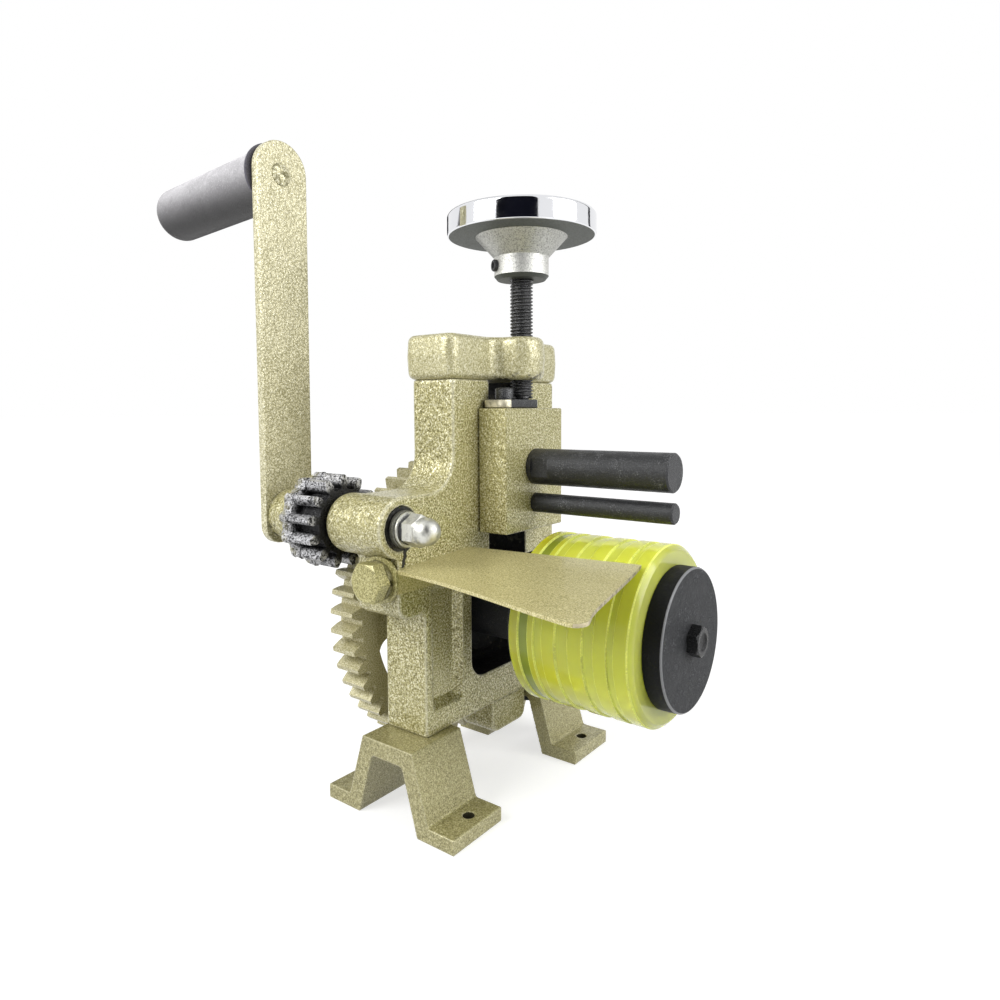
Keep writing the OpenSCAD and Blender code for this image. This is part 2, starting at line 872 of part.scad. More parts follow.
module top_cap() {
    color("darkkhaki")
        difference() {
            translate([0, 0, casting_top])
                linear_extrude(height = cap_h)
                    cap_outline();
            translate([screw_x, 0, casting_top - cut])
                cylinder(d = screw_d + 2 * run_fit, h = cap_h + 2 * cut, $fn = round_fn);
            cap_screw_places() {
                translate([0, 0, casting_top - cut])
                    cylinder(d = bolt_d, h = cap_h + 2 * cut, $fn = small_fn);
                translate([0, 0, cap_top - cap_screw_head_h - head_sink])
                    cylinder(d = cap_screw_head_d + 2 * head_gap, h = cap_screw_head_h + head_sink + cut,
                             $fn = small_fn);
            }
        }
}

module cap_screws() {
    length = cap_h - cap_screw_head_h - head_sink + bolt_bite;
    color("dimgray")
        cap_screw_places()
            translate([0, 0, cap_top - cap_screw_head_h - head_sink])
                socket_screw(bolt_d, length, cap_screw_head_d, cap_screw_head_h);
}

// Work table

// Height of the table's upper face, and with a drop that of a parallel plane below it
function table_level(y, drop = 0) =
    table_z + (y - ear_side) * tan(table_tilt) - drop / cos(table_tilt);

// The sheet's outline from above, with the front left corner rounded by an arc
module table_outline() {
    rear_left = [0, tab_face];
    front_left = [table_left_l, ear_side - table_flare];
    front_right = [table_right_l, -table_front_y];
    to_rear = atan2(rear_left[1] - front_left[1], rear_left[0] - front_left[0]);
    to_right = atan2(front_right[1] - front_left[1], front_right[0] - front_left[0]);
    half = (to_rear - to_right) / 2;
    reach = table_round / tan(half);
    middle = table_round / sin(half);
    centre = front_left + middle * [cos(to_right + half), sin(to_right + half)];
    difference() {
        polygon([rear_left, front_left, front_right, [0, -table_right_y]]);
        difference() {
            polygon([
                front_left + cut * [cos(to_rear + 180 - half), sin(to_rear + 180 - half)],
                front_left + reach * [cos(to_rear), sin(to_rear)] + cut * [sin(to_rear), -cos(to_rear)] * -1,
                centre,
                front_left + reach * [cos(to_right), sin(to_right)] + cut * [sin(to_right), -cos(to_right)]
            ]);
            translate(centre)
                circle(r = table_round, $fn = round_fn);
        }
    }
}

// A slab that follows the tilted sheet, cut from its outline
module table_sheet() {
    low = table_level(tab_face - table_flare, table_t) - cut;
    high = table_level(0) + cut;
    intersection() {
        translate([0, 0, low])
            linear_extrude(height = high - low)
                table_outline();
        far = tab_face - table_flare - cut;
        along_x(-cut, table_left_l + 2 * cut)
            polygon([
                [far, table_level(far, table_t)], [0, table_level(0, table_t)],
                [0, table_level(0)], [far, table_level(far)]
            ]);
    }
}

module table_plate() {
    flange_end = ear_side + table_flange_l;
    flange_bottom = table_z - table_flange_h;
    color("darkkhaki")
        difference() {
            union() {
                table_sheet();
                along_x(0, table_t)
                    polygon([
                        [tab_face, flange_bottom], [flange_end, flange_bottom],
                        [flange_end, table_level(flange_end, table_t / 2)],
                        [tab_face, table_level(tab_face, table_t / 2)]
                    ]);
                block([-table_tab_l, tab_face, flange_bottom],
                      [table_t, ear_side, table_level(tab_face, table_t / 2)]);
            }
            translate([-table_bolt_back, tab_face - cut, table_bolt_z])
                rotate([-90, 0, 0])
                    cylinder(d = table_bolt_d, h = table_t + 2 * cut, $fn = small_fn);
        }
}

// Places a piece on the table bolt's axis, with z=0 on the tab's outer face
module on_table_bolt(off) {
    translate([-table_bolt_back, tab_face - off, table_bolt_z])
        rotate([90, 0, 0])
            children();
}

module washer(d, hole, t) {
    difference() {
        cylinder(d = d, h = t, $fn = round_fn);
        translate([0, 0, -cut])
            cylinder(d = hole, h = t + 2 * cut, $fn = small_fn);
    }
}

module split_washer(d, hole, t, split) {
    difference() {
        washer(d, hole, t);
        translate([0, -split / 2, -cut])
            cube([d, split, t + 2 * cut]);
    }
}

module table_washer() {
    color("darkkhaki")
        on_table_bolt(0)
            washer(table_washer_d, table_bolt_d, table_washer_t);
}

module table_spring_washer() {
    color("darkkhaki")
        on_table_bolt(table_washer_t)
            split_washer(spring_washer_d, table_bolt_d, spring_washer_t, spring_split);
}

module table_bolt() {
    color("darkkhaki")
        on_table_bolt(table_washer_t + spring_washer_t) {
            hexagon(table_bolt_af, table_bolt_head_h);
            translate([0, 0, -table_bolt_l])
                cylinder(d = table_bolt_d, h = table_bolt_l, $fn = small_fn);
        }
}

// Sliding block with its mandrels

module guide_screw_places() {
    for (side = [-1, 1])
        for (end = [-1, 1])
            translate([guide_front - guide_t, side * tongue_w / 4, guide_z + guide_h / 2 + end * guide_h / 3])
                rotate([0, 90, 0])
                    children();
}

// A countersunk screw with its flat head at z=0 and its point up
module countersunk(length) {
    sink = (small_head_d - small_screw_d) / 2;
    cylinder(d1 = small_head_d, d2 = small_screw_d, h = sink, $fn = small_fn);
    cylinder(d = small_screw_d, h = length, $fn = small_fn);
}

module slide_block() {
    shank = small_d * shank_share;
    large_shank = large_d * shank_share;
    color("darkkhaki")
        difference() {
            union() {
                block([block_gap, -block_w / 2, block_bottom], [block_front, block_w / 2, block_top]);
                block([guide_front, -tongue_w / 2, block_bottom], [block_front, tongue_w / 2, block_top]);
            }
            translate([screw_x, 0, block_top - collar_pocket_h])
                cylinder(d = screw_d + 2 * collar_gap, h = collar_pocket_h + cut, $fn = round_fn);
            rod_x(shank, block_front - shank_l, shank_l + cut, z = small_z);
            rod_x(large_shank, block_front - shank_l, shank_l + cut, z = large_z);
            keeper_screw_place()
                translate([0, 0, -small_bite - drill_extra])
                    cylinder(d = small_screw_d, h = small_bite + drill_extra + cut, $fn = small_fn);
            guide_screw_places()
                cylinder(d = small_screw_d, h = guide_t + small_bite + drill_extra, $fn = small_fn);
        }
}

module guide_plate() {
    color("darkkhaki")
        difference() {
            block([guide_front - guide_t, -guide_w / 2, guide_z],
                  [guide_front, guide_w / 2, guide_z + guide_h]);
            guide_screw_places() {
                countersunk(guide_t + cut);
                translate([0, 0, -cut])
                    cylinder(d = small_head_d, h = cut, $fn = small_fn);
            }
        }
}

module guide_screws() {
    color("dimgray")
        guide_screw_places()
            difference() {
                countersunk(guide_t + small_bite);
                translate([0, 0, -cut])
                    cylinder(d = small_screw_d * socket_w_share / cos(30), h = cut + guide_t / 3, $fn = 6);
            }
}

module mandrel(d, length, z) {
    rod_x(d, block_front, length, z = z);
    rod_x(d * shank_share, block_front - shank_l, shank_l + cut, z = z);
}

module large_mandrel() {
    x = block_front + large_flat_off;
    color("dimgray")
        difference() {
            mandrel(large_d, large_l, large_z);
            for (side = [0, 1])
                mirror([0, side, 0])
                    block([x, large_flat_w / 2, large_z - large_d],
                          [x + large_flat_l, large_d, large_z + large_d]);
        }
}

module small_mandrel() {
    color("dimgray")
        mandrel(small_d, small_l, small_z);
}

module keeper_screw_place() {
    translate([block_gap + keeper_depth / 2, -keeper_screw_y, block_top])
        children();
}

// The keeper's slot is open to the rear, so that the plate slides in around the screw's neck
module keeper_plate() {
    slot = neck_d + 2 * collar_gap;
    color("dimgray")
        difference() {
            block([block_gap, -keeper_left, block_top],
                  [block_gap + keeper_depth, keeper_right, keeper_top]);
            translate([screw_x, 0, block_top - cut])
                cylinder(d = slot, h = keeper_t + 2 * cut, $fn = small_fn);
            block([block_gap - cut, -slot / 2, block_top - cut], [screw_x, slot / 2, keeper_top + cut]);
            keeper_screw_place()
                translate([0, 0, -cut])
                    cylinder(d = small_screw_d, h = keeper_t + 2 * cut, $fn = small_fn);
        }
}

module keeper_screw() {
    color("dimgray")
        keeper_screw_place()
            translate([0, 0, keeper_t])
                socket_screw(small_screw_d, keeper_t + small_bite, small_head_d, small_head_h);
}

// Pressure screw and handwheel

// One side of the thread's outline, a crest and a root per turn
function thread_points(turns) = [
    for (i = [0:turns - 1])
        for (step = thread_shares)
            [screw_d / 2 - thread_depth * step[1], (i + step[0]) * screw_pitch]
];

module pressure_screw() {
    foot = block_top - collar_gap - collar_h;
    thread_z = keeper_top + collar_gap;
    core_z = thread_z + ceil((wheel_z - thread_z) / screw_pitch) * screw_pitch;
    turns = round((core_z - thread_z) / screw_pitch);
    color("dimgray")
        translate([screw_x, 0, 0]) {
            translate([0, 0, foot])
                cylinder(d = screw_d, h = collar_h, $fn = round_fn);
            translate([0, 0, foot + collar_h / 2])
                cylinder(d = neck_d, h = thread_z - foot, $fn = small_fn);
            translate([0, 0, thread_z])
                rotate_extrude($fn = round_fn)
                    polygon(concat(
                        [[0, 0]],
                        thread_points(turns),
                        [[screw_d / 2, core_z - thread_z], [0, core_z - thread_z]]
                    ));
            translate([0, 0, core_z])
                cylinder(d = screw_d, h = wheel_top - wheel_dish_h - core_z, $fn = round_fn);
        }
}

module wheel_outline() {
    hub_r = wheel_hub_d / 2;
    rim_r = wheel_d / 2;
    difference() {
        polygon([
            [0, 0], [hub_r, 0], [hub_r, wheel_hub_h], [wheel_cone_d / 2, wheel_hub_h + wheel_cone_h],
            [rim_r, wheel_hub_h + wheel_cone_h], [rim_r, wheel_top - wheel_z], [0, wheel_top - wheel_z]
        ]);
        translate([rim_r, wheel_hub_h + wheel_cone_h])
            mirror([1, 0])
                corner_fill(rim_round);
        translate([rim_r, wheel_top - wheel_z])
            rotate(180)
                corner_fill(rim_round);
        translate([0, wheel_top - wheel_z - wheel_dish_h])
            square([wheel_dish_d / 2, wheel_dish_h + cut]);
    }
}

module set_screw_place() {
    translate([screw_x, 0, wheel_z + set_screw_rise])
        rotate([0, 90, set_screw_angle])
            children();
}

module handwheel() {
    color("gainsboro")
        difference() {
            translate([screw_x, 0, wheel_z])
                rotate_extrude($fn = round_fn)
                    wheel_outline();
            translate([screw_x, 0, wheel_z - cut])
                cylinder(d = screw_d, h = wheel_top - wheel_z, $fn = round_fn);
            set_screw_place()
                cylinder(d = set_screw_d, h = wheel_hub_d, $fn = small_fn);
        }
}

module wheel_set_screw() {
    out = wheel_hub_d / 2 + set_screw_out;
    color("dimgray")
        set_screw_place()
            difference() {
                translate([0, 0, screw_d / 2])
                    cylinder(d = set_screw_d, h = out - screw_d / 2, $fn = small_fn);
                translate([0, 0, out - set_screw_d * socket_h_share])
                    cylinder(d = set_screw_d * socket_w_share / cos(30), h = set_screw_d, $fn = 6);
            }
}

// Roller shaft

// A key along X on top of a shaft, its lower part sunk in the shaft
module key(d, x, length, y, z) {
    bottom = z + d / 2 - key_h * key_sink_share;
    block([x, y - key_w / 2, bottom], [x + length, y + key_w / 2, bottom + key_h]);
}

module main_shaft() {
    thread_front = gear_rear + head_sink;
    color("silver")
        difference() {
            union() {
                rod_x(shaft_d, thread_front, tyre_front - thread_front, z = shaft_z);
                rod_x(shaft_thread_d, shaft_rear, thread_front - shaft_rear, z = shaft_z);
            }
            gear_key_space();
            roller_key_space();
            rod_x(end_bolt_d, tyre_front - end_bolt_bite - drill_extra, end_bolt_bite + drill_extra + cut,
                  z = shaft_z, fn = small_fn);
        }
}

module gear_key_space() {
    key(shaft_d, gear_rear + head_sink, gear_front - gear_rear - head_sink, 0, shaft_z);
}

module roller_key_space() {
    key(shaft_d, flange_x, roller_key_l, 0, shaft_z);
}

module gear_key() {
    color("silver")
        gear_key_space();
}

module roller_key() {
    color("silver")
        roller_key_space();
}

module shaft_washer() {
    color("silver")
        translate([gear_rear, 0, shaft_z])
            rotate([0, -90, 0])
                washer(shaft_washer_d, shaft_thread_d, shaft_washer_t);
}

module shaft_nut() {
    color("silver")
        translate([gear_rear - shaft_washer_t, 0, shaft_z])
            rotate([0, -90, 0])
                difference() {
                    hexagon(shaft_nut_af, shaft_nut_h);
                    translate([0, 0, -cut])
                        cylinder(d = shaft_thread_d, h = shaft_nut_h + 2 * cut, $fn = small_fn);
                }
}

module roller_hub() {
    tyre_x = flange_x + flange_t;
    color("dimgray")
        difference() {
            union() {
                rod_x(neck_hub_d, hub_rear, tyre_x - hub_rear, z = shaft_z);
                rod_x(flange_d, flange_x, flange_t, z = shaft_z);
                rod_x(core_d, flange_x, flange_t + tyre_l, z = shaft_z);
            }
            rod_x(shaft_d, hub_rear - cut, tyre_front - hub_rear + 2 * cut, z = shaft_z);
            roller_key_space();
        }
}

// One side of the tyre's outline, with a shallow bevelled groove for each pair of shares
function groove_points(pair) =
    let (side = (pair[1] - pair[0]) * groove_side_share, low = tyre_d / 2 - groove_depth)
    [
        [tyre_d / 2, pair[0] * tyre_l], [low, (pair[0] + side) * tyre_l],
        [low, (pair[1] - side) * tyre_l], [tyre_d / 2, pair[1] * tyre_l]
    ];

module roller_tyre() {
    color("yellowgreen")
        translate([flange_x + flange_t, 0, shaft_z])
            rotate([0, 90, 0])
                rotate_extrude($fn = round_fn)
                    polygon(concat(
                        [[core_d / 2, 0], [tyre_d / 2, 0]],
                        [for (pair = groove_shares) for (p = groove_points(pair)) p],
                        [
                            [tyre_d / 2, tyre_l - tyre_bevel], [tyre_d / 2 - tyre_bevel, tyre_l],
                            [core_d / 2, tyre_l]
                        ]
                    ));
}

module end_cap() {
    color("dimgray")
        difference() {
            rod_x(end_cap_d, tyre_front, end_cap_t, z = shaft_z);
            rod_x(end_bolt_d, tyre_front - cut, end_cap_t + 2 * cut, z = shaft_z, fn = small_fn);
        }
}

module end_cap_bolt() {
    length = end_cap_t + end_bolt_bite;
    color("dimgray")
        translate([tyre_front + end_cap_t, 0, shaft_z])
            rotate([0, 90, 0]) {
                hexagon(end_bolt_af, end_bolt_head_h);
                translate([0, 0, -length])
                    cylinder(d = end_bolt_d, h = length, $fn = small_fn);
            }
}

// Gears

// Involute angle in degrees at pressure angle a
function involute(a) = tan(a) * 180 / PI - a;

// Half of a tooth's angle at radius r
function tooth_half(r, teeth) =
    let (
        base_r = gear_module * teeth / 2 * cos(pressure_angle),
        thin = backlash / (gear_module * teeth) * 90 / PI,
        full = 90 / teeth - thin + involute(pressure_angle)
    )
    full - involute(acos(min(1, base_r / r)));

// One flank from root to tip, as radius and half angle
function flank(teeth) =
    let (
        base_r = gear_module * teeth / 2 * cos(pressure_angle),
        root_r = gear_module * (teeth / 2 - root_share),
        tip_r = gear_module * (teeth / 2 + tip_share),
        start_r = max(base_r, root_r),
        root_half = tooth_half(start_r, teeth) * (base_r > root_r ? undercut_share : 1)
    )
    concat(
        base_r > root_r ? [[root_r, root_half]] : [],
        [
            for (i = [0:flank_steps])
                let (r = start_r + (tip_r - start_r) * i / flank_steps)
                [r, tooth_half(r, teeth)]
        ]
    );

function polar(r, a) = [r * cos(a), r * sin(a)];

function tooth_points(teeth, turn) = [
    for (i = [0:teeth - 1])
        let (middle = turn + i * 360 / teeth, side = flank(teeth), n = len(side))
        each concat(
            [for (p = side) polar(p[0], middle - p[1])],
            [for (k = [0:n - 1]) polar(side[n - 1 - k][0], middle + side[n - 1 - k][1])]
        )
];

module teeth_outline(teeth, turn) {
    polygon(tooth_points(teeth, turn));
}

// Fills the corner between a spoke along x and a circle, for the side at positive y
module spoke_corner(r, outer) {
    edge = spoke_w / 2;
    sign = outer ? -1 : 1;
    b = edge + spoke_hollow_r;
    a = sqrt(pow(r + sign * spoke_hollow_r, 2) - b * b);
    over = outer ? 2 * cut : -cut;
    reach = (r + over) / (r + sign * spoke_hollow_r);
    difference() {
        polygon([
            [a, edge - cut], [a, b], [a * reach, b * reach],
            [sqrt(r * r - pow(edge - cut, 2)) + over, edge - cut]
        ]);
        translate([a, b])
            circle(r = spoke_hollow_r, $fn = small_fn);
    }
}

module gear_web() {
    rim_r = gear_tip_r - gear_rim_t;
    hub_r = gear_hub_d / 2;
    circle(r = hub_r, $fn = round_fn);
    for (angle = spoke_angles)
        rotate(angle) {
            translate([0, -spoke_w / 2])
                square([rim_r + cut, spoke_w]);
            for (side = [0, 1])
                mirror([0, side]) {
                    spoke_corner(rim_r, true);
                    spoke_corner(hub_r, false);
                }
        }
}

module large_gear() {
    rim_r = gear_tip_r - gear_rim_t;
    hub_front = bush_rear - run_gap;
    color("darkkhaki")
        difference() {
            union() {
                translate([0, 0, shaft_z])
                    along_x(gear_rear, gear_w)
                        difference() {
                            teeth_outline(gear_teeth, gear_turn);
                            circle(r = rim_r, $fn = round_fn);
                        }
                translate([0, 0, shaft_z])
                    along_x(gear_rear + spoke_recess, gear_w - 2 * spoke_recess)
                        gear_web();
                rod_x(gear_hub_d, gear_rear, hub_front - gear_rear, z = shaft_z);
            }
            rod_x(shaft_d, gear_rear - cut, hub_front - gear_rear + 2 * cut, z = shaft_z);
            gear_key_space();
        }
}

module pinion() {
    color("dimgray")
        difference() {
            translate([0, pinion_y, pinion_z])
                along_x(pinion_rear, pinion_w)
                    teeth_outline(pinion_teeth, pinion_turn);
            rod_x(pin_shaft_d, pinion_rear - cut, pinion_w + 2 * cut, pinion_y, pinion_z);
            pinion_key_space();
        }
}

// Crank

module pinion_key_space() {
    bottom = pinion_z + pin_shaft_d / 2 - pin_key_h * key_sink_share;
    block([pinion_rear, pinion_y - pin_key_w / 2, bottom],
          [pinion_front, pinion_y + pin_key_w / 2, bottom + pin_key_h]);
}

module pinion_key() {
    color("dimgray")
        pinion_key_space();
}

module pinion_shaft() {
    thread_l = nut_spacer_t + nut_washer_t + nut_spring_t + nut_hex_h;
    color("silver")
        difference() {
            union() {
                rod_x(pin_shaft_d, arm_rear, run_gap - arm_rear, pinion_y, pinion_z);
                rod_x(nut_thread_d, 0, run_gap + thread_l, pinion_y, pinion_z, small_fn);
            }
            pinion_key_space();
        }
}

// Places a piece on the thread of the pinion shaft, with z=0 off in front of its shoulder
module on_pinion_thread(off) {
    translate([run_gap + off, pinion_y, pinion_z])
        rotate([0, 90, 0])
            children();
}

module nut_spacer() {
    color("dimgray")
        on_pinion_thread(0)
            washer(nut_spacer_d, nut_thread_d, nut_spacer_t);
}

module nut_washer() {
    color("gainsboro")
        on_pinion_thread(nut_spacer_t)
            washer(nut_washer_d, nut_thread_d, nut_washer_t);
}

module nut_spring_washer() {
    color("dimgray")
        on_pinion_thread(nut_spacer_t + nut_washer_t)
            split_washer(nut_spring_d, nut_thread_d, nut_spring_t, nut_spring_split);
}

module acorn_nut() {
    dome_z = nut_h - nut_dome_d / 2;
    color("gainsboro")
        on_pinion_thread(nut_spacer_t + nut_washer_t + nut_spring_t)
            difference() {
                union() {
                    hexagon(nut_af, nut_hex_h);
                    cylinder(d = nut_dome_d, h = dome_z, $fn = small_fn);
                    translate([0, 0, dome_z])
                        sphere(d = nut_dome_d, $fn = small_fn);
                }
                translate([0, 0, -cut])
                    cylinder(d = nut_thread_d, h = nut_hex_h + cut, $fn = small_fn);
            }
}

module crank_hub() {
    color("darkkhaki")
        difference() {
            rod_x(crank_hub_d, arm_front, crank_hub_l, pinion_y, pinion_z);
            rod_x(pin_shaft_d, arm_front - cut, crank_hub_l + 2 * cut, pinion_y, pinion_z);
        }
}

// Places a piece on the tilted spindle, with z=0 on the arm's rear face and z to the free end
module on_spindle() {
    translate([arm_rear, pinion_y, spindle_z])
        rotate([0, -grip_tilt, 0])
            rotate([0, -90, 0])
                children();
}

module crank_arm() {
    color("darkkhaki")
        difference() {
            union() {
                rod_x(arm_w, arm_rear, arm_t, pinion_y, pinion_z);
                rod_x(arm_w, arm_rear, arm_t, pinion_y, pinion_z + arm_l);
                block([arm_rear, pinion_y - arm_w / 2, pinion_z],
                      [arm_front, pinion_y + arm_w / 2, pinion_z + arm_l]);
            }
            rod_x(pin_shaft_d, arm_rear - cut, arm_t + 2 * cut, pinion_y, pinion_z);
            on_spindle()
                translate([0, 0, -arm_t - 2 * cut])
                    cylinder(d = spindle_d, h = arm_t + 4 * cut, $fn = small_fn);
        }
}

module grip_spindle() {
    head_z = grip_x + grip_l - grip_pocket_h + run_gap;
    color("silver")
        difference() {
            on_spindle() {
                translate([0, 0, -arm_t - rivet_h])
                    cylinder(d = spindle_d, h = arm_t + rivet_h + head_z + spindle_head_h, $fn = small_fn);
                translate([0, 0, -arm_t - rivet_h])
                    cylinder(d = rivet_d, h = arm_t + rivet_h, $fn = small_fn);
                translate([0, 0, head_z])
                    cylinder(d = spindle_head_d, h = spindle_head_h, $fn = small_fn);
            }
            crank_arm();
        }
}

module grip_washer() {
    color("lightsteelblue")
        on_spindle()
            translate([0, 0, grip_washer_x])
                washer(grip_washer_d, spindle_d, grip_washer_t);
}

module grip() {
    pocket_d = spindle_head_d + 2 * head_gap;
    color("slategray")
        on_spindle()
            translate([0, 0, grip_x])
                difference() {
                    rotate_extrude($fn = round_fn)
                        difference() {
                            square([grip_d / 2, grip_l]);
                            translate([grip_d / 2, grip_l])
                                rotate(180)
                                    corner_fill(grip_round);
                        }
                    translate([0, 0, -cut])
                        cylinder(d = spindle_d + 2 * run_fit, h = grip_l + 2 * cut, $fn = small_fn);
                    translate([0, 0, grip_l - grip_pocket_h])
                        cylinder(d = pocket_d, h = grip_pocket_h + cut, $fn = small_fn);
                }
}

placed() frame_casting();
placed() foot(foot_centres[0]);  // foot_left
placed() foot(foot_centres[1]);  // foot_right
placed() foot_bolts();
placed() top_cap();
placed() cap_screws();
placed() table_plate();
placed() table_bolt();
placed() table_spring_washer();
placed() table_washer();
placed() main_bush();
placed() pinion_bush();
placed() slide_block();
placed() guide_plate();
placed() guide_screws();
placed() large_mandrel();
placed() small_mandrel();
placed() keeper_plate();
placed() keeper_screw();
placed() pressure_screw();
placed() handwheel();
placed() wheel_set_screw();
placed() main_shaft();
placed() large_gear();
placed() gear_key();
placed() shaft_washer();
placed() shaft_nut();
placed() roller_hub();
placed() roller_key();
placed() roller_tyre();
placed() end_cap();
placed() end_cap_bolt();
placed() pinion_shaft();
placed() pinion();
placed() pinion_key();
placed() crank_hub();
placed() crank_arm();
placed() grip_spindle();
placed() grip_washer();
placed() grip();
placed() nut_spacer();
placed() nut_washer();
placed() nut_spring_washer();
placed() acorn_nut();
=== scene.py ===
"""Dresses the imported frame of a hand-cranked bracelet bending machine.

Lengths are machine millimetres: X=0 is the front face of the casting, Y=0 the roller shaft's
plane and Z=0 the floor. Meshes are made in place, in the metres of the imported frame.
"""

import logging
import math
from dataclasses import dataclass
from enum import Enum
from typing import Callable, Sequence

import bpy
from mathutils import Matrix, Vector


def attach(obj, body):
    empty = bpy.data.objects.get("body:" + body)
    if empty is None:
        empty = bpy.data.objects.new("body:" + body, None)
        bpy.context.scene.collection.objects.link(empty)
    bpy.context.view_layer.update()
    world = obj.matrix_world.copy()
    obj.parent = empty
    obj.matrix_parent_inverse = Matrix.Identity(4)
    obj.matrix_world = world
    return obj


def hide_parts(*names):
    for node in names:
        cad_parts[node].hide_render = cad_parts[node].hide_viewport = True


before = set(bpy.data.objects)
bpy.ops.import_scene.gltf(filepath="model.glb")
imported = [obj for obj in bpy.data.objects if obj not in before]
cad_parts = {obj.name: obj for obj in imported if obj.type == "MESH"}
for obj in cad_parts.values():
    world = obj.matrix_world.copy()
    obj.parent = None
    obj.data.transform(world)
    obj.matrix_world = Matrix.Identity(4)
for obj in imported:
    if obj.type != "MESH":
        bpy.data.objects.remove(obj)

log = logging.getLogger("bender")

Pair = tuple[float, float]
Point = tuple[float, float, float]
Colour = tuple[float, float, float]
Piece = bpy.types.Object
Socket = bpy.types.NodeSocket

MM = 0.001
MERGE = 2e-6

# The frame's origin, both shafts and the pressure screw, in machine millimetres
ORIGIN_X = 11.5
ORIGIN_Y = 10.0
SHAFT_Z = 89.5
GEAR_DISTANCE = 96
GEAR_BEARING = math.radians(147.3)
PINION_Y = GEAR_DISTANCE * math.cos(GEAR_BEARING)
PINION_Z = SHAFT_Z + GEAR_DISTANCE * math.sin(GEAR_BEARING)
SCREW_X = 9.15

# The casting's bores, the feet's top, and the bolt that holds the table against the ear's side
MAIN_BORE = 16.55
PINION_BORE = 10.05
FOOT_TOP = 38.8
EAR_SIDE = -83.49
BOLT_X = -8.8
BOLT_Z = 118.0


class Axis(Enum):
    """Directions along which pieces are turned or pushed out."""

    X = (1.0, 0.0, 0.0)
    BACK = (-1.0, 0.0, 0.0)
    LEFT = (0.0, -1.0, 0.0)
    Y = (0.0, 1.0, 0.0)
    Z = (0.0, 0.0, 1.0)


def spot(x: float, y: float, z: float) -> Vector:
    """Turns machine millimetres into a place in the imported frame, in metres."""
    return Vector(((x + ORIGIN_X) * MM, (y + ORIGIN_Y) * MM, z * MM))


def srgb(code: str) -> Colour:
    """Turns a hex colour as seen on a screen into linear values.

    Args:
        code: six hex digits.

    Returns:
        The linear red, green and blue.
    """
    values = [int(code[i : i + 2], 16) / 255 for i in (0, 2, 4)]
    linear = [v / 12.92 if v <= 0.04045 else ((v + 0.055) / 1.055) ** 2.4 for v in values]
    return linear[0], linear[1], linear[2]


def scaled(colour: Colour, share: float) -> Colour:
    """Darkens or lightens a colour by a factor."""
    return tuple(share * v for v in colour)


def along(x: float) -> float:
    """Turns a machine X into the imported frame's, in metres."""
    return (x + ORIGIN_X) * MM


def arc(centre: Pair, radius: float, start: float, end: float, steps: int = 8) -> list[Pair]:
    """Lists the points of an arc.

    Args:
        centre: the arc's centre.
        radius: its radius.
        start: its first angle in degrees.
        end: its last angle in degrees.
        steps: the number of chords.

    Returns:
        The points from start to end.
    """
    angles = [math.radians(start + (end - start) * i / steps) for i in range(steps + 1)]
    return [(centre[0] + radius * math.cos(a), centre[1] + radius * math.sin(a)) for a in angles]


# Modelling


